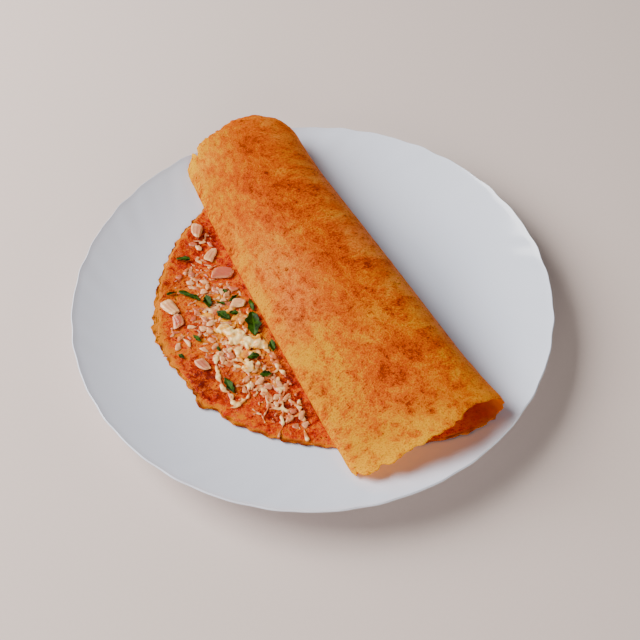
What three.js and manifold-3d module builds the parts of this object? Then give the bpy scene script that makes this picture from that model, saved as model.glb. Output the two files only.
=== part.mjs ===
// A ghee karam dosa on a round plate with a finely scalloped edge. The thin crisp sheet is rolled along
// one side, and its other side lies open on the plate with its red, spiced face and its toppings up.
// Millimetres, +Z up. The origin is under the middle of the plate, and +Y runs along the roll.
import * as THREE from 'three';
import { mergeVertices } from 'three/addons/utils/BufferGeometryUtils.js';
import Module from 'manifold-3d';

const wasm = await Module();
wasm.setup();

// Clear gap between pieces that lie on each other
const GAP = 0.45;

// Plate: a flat well, a rim that curves up to the edge, and a foot ring
const PLATE = {
  edgeRadius: 135,
  edgeHeight: 22.2,
  wellRadius: 78,
  wellHeight: 4.6,
  rimCurve: 1.7,
  wall: 3,
  footRadius: 73,
  footWidth: 4,
  footHeight: 1.5,
};

// The edge waves in groups of three scallops, and each wave runs inwards as a soft slanting flute
const FLUTES = {
  groups: 16,
  wideShare: 0.55,
  wideBearing: -21.8,
  narrowBearing: -26.4,
  innerRadius: 101,
  edgeWave: 0.35,
  depth: 0.55,
  lean: 11,
};
const LIP = { round: 0.5, upperFace: 0.7, lowerFace: 2.1, inset: 0.8 };
const EDGE_SIDES = 144;
const WELL_SIDES = 48;
const RING_RADII = {
  well: [44, 78, 88, 98],
  rim: [106, 115, 124, 132],
  under: [126, 110],
  below: [94, 84],
};

// Dosa sheet, laid flat: an oval as wide as the roll is long
const SHEET = {
  thickness: 1.8,
  tipX: -88.5,
  middleY: 6.4,
  halfWidth: 117.6,
  ovalLength: 150,
  flapOvalStart: 236,
  flapOvalLength: 100,
  edgeBand: 3,
};

// Distances along the sheet from its tip, where each stretch of the rolled section ends
const STRETCH = { lie: 130, lift: 152, side: 178, top: 250, turn: 258, flap: 318 };
const STRETCH_ROWS = { lie: 16, lift: 4, side: 5, top: 9, turn: 4, flap: 6 };
const COLUMNS = 20;
const TIP = { angle: 0.16, edgeShare: 0.3 };
// Where the bottom layer starts to draw in or out, so that it comes up right under the roll's side
const LIE_EVEN = 62;

// The rolled section at the near end, the middle and the far end of the roll
const ROLL = {
  sideX: [56.2, 49.8, 42.4],
  sideRise: [10, 12.5, 7.5],
  lieReach: [11, 16, 15],
  crestX: [38.5, 25, 11],
  crestZ: [37.4, 35.6, 42.4],
  crestHandle: [0.3, 0.46, 0.6],
  leftX: [-28.2, -28, -28.6],
  turnRadius: [1.7, 3.4, 4.6],
  shoulderSlope: [0.3, 0.75, 1.8],
  shoulderHandle: [0.5, 0.42, 0.4],
};
// The near end swells out between two stretches of the top layer, and its bottom layer stands out as a
// lip. The far end is cut back at one stretch and swells out at the crest.
const NEAR_SWELL = { size: 5, from: [180, 200], to: [238, 262] };
const NEAR_LIP = { at: 118, size: 5, width: 24 };
const FAR_TRIM = { at: 154, size: -6.5, width: 13 };
const FAR_SWELL = { at: 178, size: 4.5, width: 16 };
const FLAP = { endX: 33, curl: 3.5, curlStart: 0.6, settle: 14, overlap: 4 };

// Ragged edge: small waves all round, and a few torn crags. On the open side a crag is placed by its
// bearing in degrees from the tip, seen from the middle of the oval, and on the roll by its distance
// along the sheet.
const RAGGED = { wave: 0.5, pitch: 9 };
const OPEN_CRAGS = [
  { bearing: -15, size: 4, width: 1.3 },
  { bearing: -7, size: -2.2, width: 5 },
  { bearing: -18, size: -1.4, width: 1.6 },
  { bearing: -23, size: 1.2, width: 2 },
  { bearing: 7, size: 2, width: 3.4 },
  { bearing: 24, size: -1, width: 10 },
  { bearing: 45, size: -3, width: 12 },
];
const ROLL_CRAGS = [
  { side: 1, at: 238, size: -4.2, width: 3.4 },
  { side: -1, at: 226, size: -1.2, width: 4 },
];

// Chopped onion scattered over the open face, as round patches with a count of pieces
const ONION_PATCHES = [
  { x: -37, y: 77, spread: 8, count: 4 },
  { x: -55, y: 56, spread: 8, count: 4 },
  { x: -48, y: 41, spread: 7, count: 6 },
  { x: -39, y: 31, spread: 7, count: 4 },
  { x: -60, y: 19, spread: 8, count: 7 },
  { x: -59, y: -2, spread: 9, count: 8 },
  { x: -77, y: 12, spread: 8, count: 3 },
  { x: -53, y: -29, spread: 7, count: 4 },
  { x: -42, y: -45, spread: 8, count: 6 },
  { x: -37, y: -61, spread: 7, count: 5 },
];
const ONION = { length: [3.4, 6.4], width: [2.4, 3.8], height: [1.8, 2.8], sides: 6, seed: 20, attempts: 90 };
const OPEN_FACE = { rightX: -32.5, margin: 7, clear: 0.6 };

// Strands of melted cheese: where each starts, its heading and turn in degrees, and its length
const STRANDS = [
  { from: [-63.5, -6], heading: -108, turn: 34, length: 36 },
  { from: [-68, -41], heading: -10, turn: 105, length: 24 },
  { from: [-54, -36], heading: 15, turn: -70, length: 16 },
  { from: [-41, -37], heading: -60, turn: 80, length: 14 },
  { from: [-47, -38], heading: -95, turn: -40, length: 18 },
  { from: [-40, -40], heading: -92, turn: -45, length: 32 },
  { from: [-37, -50], heading: -80, turn: -30, length: 28 },
];
const STRAND = { width: 2.6, height: 2, steps: 5, sides: 6 };
const SUNK = 0.6;

// Larger toppings, each a piece of its own: middle, size and turn about the vertical in degrees
const ONION_PIECES = [
  { at: [-36.2, 46.8], size: [12.6, 7.6, 3.2], turn: -28 },
  { at: [-73.4, 36.2], size: [7, 11, 3], turn: 12 },
  { at: [-73, 25.6], size: [6.4, 9.4, 2.6], turn: -8 },
  { at: [-38.6, 82.5], size: [6.4, 10.4, 2.8], turn: -28 },
  { at: [-37.4, 62.8], size: [10, 5.8, 2.8], turn: 42 },
  { at: [-71.2, -8.6], size: [5.6, 9, 2.8], turn: 14 },
  { at: [-37, 22.2], size: [8.4, 6, 3], turn: -20 },
];
const CHEESE_LUMPS = [
  { at: [-51.6, 9.6], radius: 4.8, height: 4.4 },
  { at: [-48, 2.4], radius: 5.6, height: 5.2 },
  { at: [-43.6, -4.4], radius: 5.2, height: 5 },
  { at: [-38.4, -8.4], radius: 5.4, height: 4.8 },
];
const CHEESE_CRUMB = { at: [-49.2, -21.2], radius: 4.6, height: 4.6 };
const LEAVES = [
  { at: [-34.8, 5.2], size: [9.6, 16.5], turn: -16 },
  { at: [-60.6, 40.4], size: [3.8, 13], turn: 38 },
  { at: [-52.4, 31.2], size: [5.6, 9.2], turn: -8 },
  { at: [-48, 17.8], size: [5.4, 9.6], turn: 28 },
  { at: [-63.4, -27.4], size: [4.4, 11], turn: 4 },
  { at: [-44, -15.6], size: [4.4, 6.6], turn: 80 },
  { at: [-53.6, 66.4], size: [3.8, 8], turn: 65 },
];
const LEAF = { thickness: 0.7, wave: 0.5, across: 4, along: 7 };

const FINISH = {
  glass: { color: 0xe4e8ec, roughness: 0.18, metalness: 0 },
  crust: { color: 0xd98a2b, roughness: 0.48, metalness: 0 },
  onion: { color: 0xe6b9ac, roughness: 0.3, metalness: 0 },
  cheese: { color: 0xefe2b8, roughness: 0.4, metalness: 0 },
  leaf: { color: 0x2f6b24, roughness: 0.45, metalness: 0 },
};

const radians = THREE.MathUtils.degToRad;
const mix = THREE.MathUtils.lerp;
const smoothstep = THREE.MathUtils.smoothstep;

/** Repeatable random numbers from 0 to 1. */
function randomSource(seed) {
  let state = seed >>> 0;
  return () => {
    state = (state + 0x6d2b79f5) >>> 0;
    let bits = Math.imul(state ^ (state >>> 15), state | 1);
    bits = (bits + Math.imul(bits ^ (bits >>> 7), bits | 61)) ^ bits;
    return ((bits ^ (bits >>> 14)) >>> 0) / 2 ** 32;
  };
}

function closedGeometry(positions, faces) {
  const geometry = new THREE.BufferGeometry();
  geometry.setAttribute('position', new THREE.Float32BufferAttribute(positions, 3));
  geometry.setIndex(faces);
  return geometry;
}

function piece(name, geometry, finish) {
  const mesh = new THREE.Mesh(geometry, new THREE.MeshStandardMaterial(finish));
  mesh.name = name;
  return mesh;
}

function toSolid(geometry) {
  const bare = geometry.clone();
  bare.deleteAttribute('normal');
  bare.deleteAttribute('uv');
  const merged = mergeVertices(bare, 1e-4);
  return new wasm.Manifold(new wasm.Mesh({
    numProp: 3,
    vertProperties: new Float32Array(merged.attributes.position.array),
    triVerts: new Uint32Array(merged.index.array),
  }));
}

function fromSolid(solid) {
  const mesh = solid.getMesh();
  return closedGeometry(Array.from(mesh.vertProperties), Array.from(mesh.triVerts));
}

// Plate

/** Height of the plate's upper face, at the crests of its flutes. */
function plateTop(radius) {
  const outward = Math.max(0, radius - PLATE.wellRadius) / (PLATE.edgeRadius - PLATE.wellRadius);
  return PLATE.wellHeight + (PLATE.edgeHeight - PLATE.wellHeight) * outward ** PLATE.rimCurve;
}

/** Two waves beat together, so that the scallops come in threes of unlike width. From -1 to 1. */
function scallop(angle) {
  const wide = Math.cos(2 * FLUTES.groups * (angle - radians(FLUTES.wideBearing)));
  const narrow = Math.cos(3 * FLUTES.groups * (angle - radians(FLUTES.narrowBearing)));
  return mix(narrow, wide, FLUTES.wideShare);
}

function platePoint(radius, height, angle) {
  const strength = smoothstep(radius, FLUTES.innerRadius, PLATE.edgeRadius);
  const outward = (radius - FLUTES.innerRadius) / (PLATE.edgeRadius - FLUTES.innerRadius);
  const slant = radians(FLUTES.lean) * (1 - outward);
  const wave = scallop(angle - slant);
  const wavedRadius = radius + strength * FLUTES.edgeWave * wave;
  const wavedHeight = height - strength * FLUTES.depth * (1 - wave) / 2;
  return [wavedRadius * Math.cos(angle), wavedRadius * Math.sin(angle), wavedHeight];
}

/** Rings of the plate from the middle of its upper face, over the edge, to the middle below. */
function plateRings() {
  const { edgeRadius, edgeHeight, wall, footRadius, footWidth, footHeight } = PLATE;
  const above = (sides) => (radius) => [radius, plateTop(radius), sides];
  const beneath = (sides) => (radius) => [radius, plateTop(radius) - wall, sides];
  const footOuter = footRadius + footWidth / 2;
  const footInner = footRadius - footWidth / 2;
  return [
    ...RING_RADII.well.map(above(WELL_SIDES)),
    ...RING_RADII.rim.map(above(EDGE_SIDES)),
    [edgeRadius - LIP.round, edgeHeight, EDGE_SIDES],
    [edgeRadius, edgeHeight - LIP.upperFace, EDGE_SIDES],
    [edgeRadius - LIP.inset, edgeHeight - LIP.lowerFace, EDGE_SIDES],
    ...RING_RADII.under.map(beneath(EDGE_SIDES)),
    ...RING_RADII.below.map(beneath(WELL_SIDES)),
    [footOuter + LIP.inset, footHeight, WELL_SIDES],
    [footOuter, 0, WELL_SIDES],
    [footInner, 0, WELL_SIDES],
    [footInner - LIP.inset, footHeight, WELL_SIDES],
  ];
}

/** Joins two rings of points with triangles. The rings have equal counts, or one has a multiple. */
function stitch(faces, inner, outer) {
  const flip = inner.count > outer.count;
  const [few, many] = flip ? [outer, inner] : [inner, outer];
  const ratio = many.count / few.count;
  const add = (a, b, c) => (flip ? faces.push(a, c, b) : faces.push(a, b, c));
  for (let i = 0; i < few.count; i += 1) {
    const here = few.start + i;
    const next = few.start + ((i + 1) % few.count);
    for (let k = 0; k < ratio; k += 1) {
      const from = many.start + i * ratio + k;
      const to = many.start + ((i * ratio + k + 1) % many.count);
      add(k < ratio / 2 ? here : next, from, to);
    }
    const middle = many.start + ((i * ratio + Math.ceil(ratio / 2)) % many.count);
    add(here, middle, next);
  }
}

function makePlate() {
  const positions = [0, 0, PLATE.wellHeight];
  const faces = [];
  let previous = { start: 0, count: 1 };
  for (const [radius, height, sides] of plateRings()) {
    const ring = { start: positions.length / 3, count: sides };
    for (let i = 0; i < sides; i += 1) {
      positions.push(...platePoint(radius, height, (2 * Math.PI * i) / sides));
    }
    if (previous.count === 1) {
      for (let i = 0; i < sides; i += 1) {
        faces.push(0, ring.start + i, ring.start + ((i + 1) % sides));
      }
    } else {
      stitch(faces, previous, ring);
    }
    previous = ring;
  }
  const under = positions.length / 3;
  positions.push(0, 0, PLATE.footHeight);
  for (let i = 0; i < previous.count; i += 1) {
    faces.push(under, previous.start + ((i + 1) % previous.count), previous.start + i);
  }
  return piece('plate', closedGeometry(positions, faces), FINISH.glass);
}

// Dosa sheet

/** A measure of the section between the near end, the middle and the far end of the roll. */
function alongRoll([near, middle, far], y) {
  const t = (y - SHEET.middleY + SHEET.halfWidth) / (2 * SHEET.halfWidth);
  return near * (1 - t) * (1 - 2 * t) + 4 * middle * t * (1 - t) + far * t * (2 * t - 1);
}

/** Middle height of a sheet that lies on the plate at a point. */
function lyingHeight(x, y) {
  const radius = Math.hypot(x, y);
  const slope = plateTop(radius + 0.5) - plateTop(radius - 0.5);
  return plateTop(radius) + GAP + (SHEET.thickness / 2) * Math.hypot(1, slope);
}

/** Half of the oval's width at a distance along the sheet from its tip. */
function halfWidth(along) {
  const outward = Math.max(0, 1 - along / SHEET.ovalLength);
  const inFlap = Math.max(0, (along - SHEET.flapOvalStart) / SHEET.flapOvalLength);
  return SHEET.halfWidth * Math.sqrt(1 - outward ** 2) * Math.sqrt(Math.max(0, 1 - inFlap ** 2));
}

/** Height of the flap, which rests on the bottom layer where there is one and else on the plate. */
function flapHeight(x, y) {
  const beside = halfWidth(x - SHEET.tipX) - Math.abs(y - SHEET.middleY);
  const held = smoothstep(beside, -FLAP.settle, -FLAP.overlap);
  return lyingHeight(x, y) + held * (SHEET.thickness + GAP);
}

// Handle lengths that make one cubic curve a quarter or a half of a round, as shares of its radius
const QUARTER = 0.55;
const HALF_TURN = 4 / 3;

function bezier(from, handleFrom, handleTo, to, t) {
  const u = 1 - t;
  const blend = (k) => u ** 3 * from[k] + 3 * u * u * t * handleFrom[k] + 3 * u * t * t * handleTo[k]
    + t ** 3 * to[k];
  return [blend(0), blend(1)];
}

/** The named points of the rolled section at one place along the roll. */
function sectionAt(y) {
  const measure = Object.fromEntries(Object.entries(ROLL).map(([key, row]) => [key, alongRoll(row, y)]));
  const liftX = measure.sideX - measure.lieReach;
  const lift = [liftX, lyingHeight(liftX, y)];
  const side = [measure.sideX, lift[1] + measure.sideRise];
  const crest = [measure.crestX, measure.crestZ];
  const turnX = measure.leftX + measure.turnRadius;
  const flap = [turnX, flapHeight(turnX, y)];
  const shoulder = [turnX, flap[1] + 2 * measure.turnRadius];
  return { measure, lift, side, crest, flap, shoulder };
}

/** Middle of the sheet, as [x, z], at a distance along it and a place along the roll. */
function sectionPoint(along, y) {
  const { measure, lift, side, crest, flap, shoulder } = sectionAt(y);
  if (along <= STRETCH.lie) {
    const stretch = lift[0] - SHEET.tipX - STRETCH.lie;
    const x = SHEET.tipX + along + stretch * smoothstep(along, LIE_EVEN, STRETCH.lie);
    return [x, lyingHeight(x, y)];
  }
  if (along <= STRETCH.lift) {
    const t = (along - STRETCH.lie) / (STRETCH.lift - STRETCH.lie);
    const before = lift[0] - 1;
    const slope = lift[1] - lyingHeight(before, y);
    const reach = QUARTER * (side[0] - lift[0]);
    const handle = [lift[0] + reach, lift[1] + reach * slope];
    return bezier(lift, handle, [side[0], mix(side[1], lift[1], QUARTER)], side, t);
  }
  if (along <= STRETCH.side) {
    const t = (along - STRETCH.lift) / (STRETCH.side - STRETCH.lift);
    const up = [side[0], mix(side[1], crest[1], QUARTER)];
    return bezier(side, up, [mix(crest[0], side[0], QUARTER), crest[1]], crest, t);
  }
  if (along <= STRETCH.top) {
    const t = (along - STRETCH.side) / (STRETCH.top - STRETCH.side);
    const span = crest[0] - shoulder[0];
    const reach = (measure.shoulderHandle * span) / Math.hypot(1, measure.shoulderSlope);
    const handle = [shoulder[0] + reach, shoulder[1] + reach * measure.shoulderSlope];
    return bezier(crest, [crest[0] - measure.crestHandle * span, crest[1]], handle, shoulder, t);
  }
  if (along <= STRETCH.turn) {
    const t = (along - STRETCH.top) / (STRETCH.turn - STRETCH.top);
    const reach = HALF_TURN * measure.turnRadius;
    const steepness = Math.hypot(1, measure.shoulderSlope);
    const outX = shoulder[0] - reach / steepness;
    const outZ = shoulder[1] - (reach * measure.shoulderSlope) / steepness;
    return bezier(shoulder, [outX, outZ], [flap[0] - reach, flap[1]], flap, t);
  }
  const t = (along - STRETCH.turn) / (STRETCH.flap - STRETCH.turn);
  const x = mix(flap[0], FLAP.endX, t);
  const curl = FLAP.curl * smoothstep(t, FLAP.curlStart, 1) ** 2;
  return [x, flapHeight(x, y) + curl];
}

const bump = (distance, { size, width }) => size * Math.exp(-((distance / width) ** 2));

/** The near (-1) or far (+1) edge of the sheet at a distance along it, before it is made ragged. */
function edgeY(along, side) {
  const { size, from, to } = NEAR_SWELL;
  const onTop = smoothstep(along, ...from) * (1 - smoothstep(along, ...to));
  const near = size * onTop + bump(along - NEAR_LIP.at, NEAR_LIP);
  const far = bump(along - FAR_TRIM.at, FAR_TRIM) + bump(along - FAR_SWELL.at, FAR_SWELL);
  return SHEET.middleY + side * (halfWidth(along) + (side < 0 ? near : far));
}

/** How far a point of the edge stands out, from even small waves and the torn crags. */
function raggedness(along, y, side) {
  const away = y - SHEET.middleY;
  const run = along < STRETCH.lie ? Math.hypot(along, away) * Math.sign(away) : along;
  const waves = Math.sin((run * 2 * Math.PI) / RAGGED.pitch) + 0.7 * Math.sin(run * 1.13 + side * 2)
    + 0.5 * Math.sin(run * 2.9 + 1);
  const bearing = THREE.MathUtils.radToDeg(Math.atan2(away, SHEET.ovalLength - along));
  const open = OPEN_CRAGS.map((crag) => bump(bearing - crag.bearing, crag));
  const rolled = ROLL_CRAGS.map((crag) => (crag.side === side ? bump(along - crag.at, crag) : 0));
  const torn = along < STRETCH.lie ? open : rolled;
  return RAGGED.wave * waves + torn.reduce((sum, size) => sum + size, 0);
}

/** Middle of the sheet at a distance along it and a fraction across, from -1 near to 1 far. */
function sheetPoint(along, across) {
  const y = mix(edgeY(along, -1), edgeY(along, 1), (across + 1) / 2);
  const [x, z] = sectionPoint(along, y);
  return new THREE.Vector3(x, y, z);
}

function sheetNormal(along, across) {
  const da = 0.4;
  const dc = 0.004;
  const lengthwise = sheetPoint(along + da, across).sub(sheetPoint(along - da, across));
  const farther = sheetPoint(along, Math.min(1, across + dc));
  const crosswise = farther.sub(sheetPoint(along, Math.max(-1, across - dc)));
  return lengthwise.cross(crosswise).normalize();
}

/** The rows of the sheet: distances along it, closer together at the tip and in the folds. */
function sheetRows() {
  const rows = [];
  const lieAngle = Math.acos(1 - STRETCH.lie / SHEET.ovalLength);
  for (let i = 0; i < STRETCH_ROWS.lie; i += 1) {
    const angle = mix(TIP.angle, lieAngle, i / STRETCH_ROWS.lie);
    rows.push(SHEET.ovalLength * (1 - Math.cos(angle)));
  }
  let start = STRETCH.lie;
  for (const name of ['lift', 'side', 'top', 'turn', 'flap']) {
    for (let i = 0; i < STRETCH_ROWS[name]; i += 1) {
      rows.push(mix(start, STRETCH[name], i / STRETCH_ROWS[name]));
    }
    start = STRETCH[name];
  }
  rows.push(STRETCH.flap);
  return rows;
}

/** Fractions across the sheet, from the near edge band to the far one. */
function sheetColumns(count) {
  const edge = 1 - SHEET.edgeBand / SHEET.halfWidth;
  return Array.from({ length: count + 1 }, (_, i) => mix(-edge, edge, i / count));
}

/** The corners of the sheet's edge, run round once, each beside a point of the grid. */
function sheetEdge(rows, columns) {
  const lastRow = rows.length - 1;
  const lastColumn = columns.length - 1;
  const corners = [];
  for (let i = 0; i < lastRow; i += 1) {
    corners.push({ row: i, column: 0, along: rows[i], across: -1 });
  }
  for (let j = 0; j < lastColumn; j += 1) {
    corners.push({ row: lastRow, column: j, along: rows[lastRow] + SHEET.edgeBand, across: columns[j] });
  }
  for (let i = lastRow; i > 0; i -= 1) {
    corners.push({ row: i, column: lastColumn, along: rows[i], across: 1 });
  }
  for (let j = lastColumn; j > 0; j -= 1) {
    corners.push({ row: 0, column: j, along: rows[0] * TIP.edgeShare, across: columns[j] });
  }
  return corners;
}

/** A point of the ragged edge, moved out from the smooth one and still lying on what carries it. */
function edgePoint(along, across) {
  const lastColumn = 1 - SHEET.edgeBand / SHEET.halfWidth;
  const side = Math.abs(across) > (1 + lastColumn) / 2 ? Math.sign(across) : 0;
  const lies = along < STRETCH.lie;
  const smooth = sheetPoint(along, across);
  let outX = lies ? -1 : 0.5;
  let outY = 0;
  if (side !== 0) {
    const step = 0.5;
    const slope = (edgeY(along + step, side) - edgeY(Math.max(0.2, along - step), side)) / (2 * step);
    outX = lies ? -Math.abs(slope) / Math.hypot(1, slope) : 0;
    outY = side / Math.hypot(1, slope);
  }
  const out = raggedness(along, smooth.y, side);
  const y = smooth.y + out * outY;
  const [sectionX, sectionZ] = sectionPoint(along, y);
  const x = sectionX + out * outX;
  return new THREE.Vector3(x, y, lies ? lyingHeight(x, y) : sectionZ);
}

function makeSheet() {
  const rows = sheetRows();
  const columns = sheetColumns(COLUMNS);
  const width = columns.length;
  const half = SHEET.thickness / 2;
  const upper = [];
  const lower = [];
  const addPoint = (point, normal) => {
    upper.push(point.clone().addScaledVector(normal, half));
    lower.push(point.clone().addScaledVector(normal, -half));
    return upper.length - 1;
  };
  for (const along of rows) {
    for (const across of columns) {
      addPoint(sheetPoint(along, across), sheetNormal(along, across));
    }
  }
  const faces = [];
  for (let i = 0; i + 1 < rows.length; i += 1) {
    for (let j = 0; j + 1 < width; j += 1) {
      const a = i * width + j;
      const b = a + 1;
      const c = a + width;
      const d = c + 1;
      if ((i + j) % 2) {
        faces.push([a, c, b], [b, c, d]);
      } else {
        faces.push([a, c, d], [a, d, b]);
      }
    }
  }
  const edge = sheetEdge(rows, columns);
  // Two more points stand between each pair of corners, so that the outline is finer than the grid
  const parts = 3;
  const outline = [];
  edge.forEach((corner, k) => {
    const next = edge[(k + 1) % edge.length];
    for (let part = 0; part < parts; part += 1) {
      const along = mix(corner.along, next.along, part / parts);
      const across = mix(corner.across, next.across, part / parts);
      outline.push(addPoint(edgePoint(along, across), sheetNormal(along, across)));
    }
  });
  edge.forEach((corner, k) => {
    const next = edge[(k + 1) % edge.length];
    const here = corner.row * width + corner.column;
    const there = next.row * width + next.column;
    const at = (part) => outline[(k * parts + part) % outline.length];
    faces.push([here, at(0), at(1)], [here, at(1), at(2)], [here, at(2), there], [there, at(2), at(3)]);
  });
  const count = upper.length;
  const positions = [...upper, ...lower].flatMap((point) => point.toArray());
  const index = [];
  for (const [a, b, c] of faces) {
    index.push(a, b, c, count + a, count + c, count + b);
  }
  outline.forEach((here, k) => {
    const next = outline[(k + 1) % outline.length];
    index.push(here, count + here, next, next, count + here, count + next);
  });
  return closedGeometry(positions, index);
}

/** Height of the upper face where the sheet lies open. */
function openFace(x, y) {
  return lyingHeight(x, y) + SHEET.thickness / 2;
}

/** Whether a place on the open face is inside the outline by a margin and clear of larger pieces. */
function isFree(x, y, reach) {
  const along = x - SHEET.tipX;
  if (along < OPEN_FACE.margin || x > OPEN_FACE.rightX - reach) {
    return false;
  }
  if (Math.abs(y - SHEET.middleY) > halfWidth(along - OPEN_FACE.margin) - OPEN_FACE.margin) {
    return false;
  }
  const large = [...ONION_PIECES, ...LEAVES].every(({ at, size }) => (
    Math.hypot(x - at[0], y - at[1]) > Math.hypot(size[0], size[1]) / 2 + reach + OPEN_FACE.clear));
  const lumps = [...CHEESE_LUMPS, CHEESE_CRUMB].every(({ at, radius }) => (
    Math.hypot(x - at[0], y - at[1]) > radius + reach + OPEN_FACE.clear));
  return large && lumps;
}

/** Places, sizes and turns of the small onion pieces. */
function scatterOnion() {
  const random = randomSource(ONION.seed);
  const pieces = [];
  for (const patch of ONION_PATCHES) {
    let placed = 0;
    for (let attempt = 0; attempt < ONION.attempts && placed < patch.count; attempt += 1) {
      const away = patch.spread * Math.sqrt(random());
      const bearing = 2 * Math.PI * random();
      const x = patch.x + away * Math.cos(bearing);
      const y = patch.y + away * Math.sin(bearing);
      const length = mix(...ONION.length, random());
      const width = mix(...ONION.width, random());
      const height = mix(...ONION.height, random());
      const turn = Math.PI * random();
      const apart = pieces.every((other) => (
        Math.hypot(other.x - x, other.y - y) > (other.length + length) / 2));
      if (apart && isFree(x, y, length / 2)) {
        pieces.push({ x, y, length, width, height, turn });
        placed += 1;
      }
    }
  }
  return pieces;
}

/** A small chopped piece: a low drum of a few sides, narrower at the top. */
function makeChopped({ x, y, length, width, height, turn }) {
  const geometry = new THREE.CylinderGeometry(0.4, 0.5, 1, ONION.sides, 1);
  geometry.rotateX(Math.PI / 2);
  geometry.scale(length, width, height + SUNK);
  geometry.rotateZ(turn);
  geometry.translate(x, y, openFace(x, y) + (height - SUNK) / 2);
  return toSolid(geometry);
}

/** A strand of melted cheese: a low tube along an arc on the open face. */
function makeStrand({ from, heading, turn, length }) {
  const points = [];
  let [x, y] = from;
  for (let i = 0; i <= STRAND.steps; i += 1) {
    points.push(new THREE.Vector3(x, y, openFace(x, y) + STRAND.height / 2 - SUNK));
    const direction = radians(heading + (turn * (i + 0.5)) / STRAND.steps);
    x = Math.min(OPEN_FACE.rightX, x + (length / STRAND.steps) * Math.cos(direction));
    y += (length / STRAND.steps) * Math.sin(direction);
  }
  const section = new THREE.Shape();
  for (let i = 0; i < STRAND.sides; i += 1) {
    const angle = (2 * Math.PI * i) / STRAND.sides;
    section[i ? 'lineTo' : 'moveTo'](STRAND.height / 2 * Math.cos(angle), STRAND.width / 2 * Math.sin(angle));
  }
  const extrudePath = new THREE.CatmullRomCurve3(points);
  return toSolid(new THREE.ExtrudeGeometry(section, { steps: 2 * STRAND.steps, extrudePath }));
}

function makeDosa() {
  let solid = toSolid(makeSheet());
  const pieces = [...scatterOnion().map(makeChopped), ...STRANDS.map(makeStrand)];
  for (const topping of pieces) {
    solid = solid.add(topping);
  }
  return piece('dosa', fromSolid(solid), FINISH.crust);
}

// Larger toppings

/** Sets a topping down on the open face, just clear of it at its lowest point. */
function setDown(geometry, [x, y], turn) {
  geometry.rotateZ(radians(turn));
  geometry.translate(x, y, 0);
  const position = geometry.attributes.position;
  let lift = -Infinity;
  for (let i = 0; i < position.count; i += 1) {
    const needed = openFace(position.getX(i), position.getY(i)) + GAP - position.getZ(i);
    lift = Math.max(lift, needed);
  }
  geometry.translate(0, 0, lift);
  return geometry;
}

/** A petal of onion: a curved slab, thicker in the middle, with rounded ends. */
function makeOnionPiece({ at, size, turn }, number) {
  const geometry = new THREE.SphereGeometry(0.5, 12, 6);
  geometry.deleteAttribute('uv');
  geometry.deleteAttribute('normal');
  const merged = mergeVertices(geometry, 1e-4);
  const position = merged.attributes.position;
  for (let i = 0; i < position.count; i += 1) {
    const square = (value) => 0.5 * Math.sign(value) * Math.abs(2 * value) ** 0.7;
    const x = square(position.getX(i));
    const z = square(position.getY(i));
    const y = square(position.getZ(i));
    position.setXYZ(i, x * size[0], -y * size[1], z * size[2] * 0.8 + 0.2 * size[2] * (1 - 4 * x * x));
  }
  return piece(`onion_piece_${number + 1}`, setDown(merged, at, turn), FINISH.onion);
}

function makeLump({ at, radius, height }) {
  const geometry = new THREE.IcosahedronGeometry(1, 1);
  geometry.scale(radius, radius * 0.9, height);
  const floor = openFace(...at) + GAP;
  geometry.translate(at[0], at[1], floor);
  const position = geometry.attributes.position;
  for (let i = 0; i < position.count; i += 1) {
    const lowest = openFace(position.getX(i), position.getY(i)) + GAP;
    position.setZ(i, Math.max(lowest, position.getZ(i)));
  }
  return toSolid(geometry);
}

function makeCheese(name, lumps) {
  const solid = lumps.map(makeLump).reduce((whole, lump) => whole.add(lump));
  return piece(name, fromSolid(solid), FINISH.cheese);
}

/** A thin wavy leaf: pointed at both ends, with a lobed outline. */
function makeLeaf({ at, size, turn }, number) {
  const { thickness, wave, across, along } = LEAF;
  const upper = [];
  for (let i = 0; i <= along; i += 1) {
    const t = i / along;
    const lobes = 0.8 + 0.2 * Math.cos(6 * Math.PI * t);
    const half = (size[0] / 2) * Math.max(0.16, Math.sin(Math.PI * t) ** 0.7 * lobes);
    for (let j = 0; j <= across; j += 1) {
      const s = (2 * j) / across - 1;
      const z = wave * (Math.sin(5 * t + 2 * s) + Math.abs(s));
      upper.push([s * half, (t - 0.5) * size[1], z]);
    }
  }
  const count = upper.length;
  const positions = [...upper, ...upper.map(([x, y, z]) => [x, y, z - thickness])].flat();
  const width = across + 1;
  const faces = [];
  for (let i = 0; i < along; i += 1) {
    for (let j = 0; j < across; j += 1) {
      const a = i * width + j;
      for (const [p, q, r] of [[a, a + 1, a + width], [a + 1, a + width + 1, a + width]]) {
        faces.push(p, q, r, count + p, count + r, count + q);
      }
    }
  }
  const stepsTo = (length) => Array.from({ length }, (_, k) => k);
  const rim = [
    ...stepsTo(across),
    ...stepsTo(along).map((i) => i * width + across),
    ...stepsTo(across).map((j) => along * width + across - j),
    ...stepsTo(along).map((i) => (along - i) * width),
  ];
  rim.forEach((here, k) => {
    const next = rim[(k + 1) % rim.length];
    faces.push(here, count + here, next, next, count + here, count + next);
  });
  const leaf = setDown(closedGeometry(positions, faces), at, turn);
  return piece(`coriander_leaf_${number + 1}`, leaf, FINISH.leaf);
}

const dosaOnPlate = new THREE.Group();
dosaOnPlate.add(
  makePlate(),
  makeDosa(),
  ...ONION_PIECES.map(makeOnionPiece),
  makeCheese('cheese_lump', CHEESE_LUMPS),
  makeCheese('cheese_crumb', [CHEESE_CRUMB]),
  ...LEAVES.map(makeLeaf),
);

export default dosaOnPlate;
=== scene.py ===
"""Ghee karam dosa on a round plate with a finely scalloped edge.

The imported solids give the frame. This script dresses them: a spun plate of opal glass, a thin crisp
sheet rolled along one side, and the chopped onion, melted cheese and coriander on its open face.
"""
import logging
import math
import random
from dataclasses import dataclass
from enum import Enum
from typing import Callable

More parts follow.
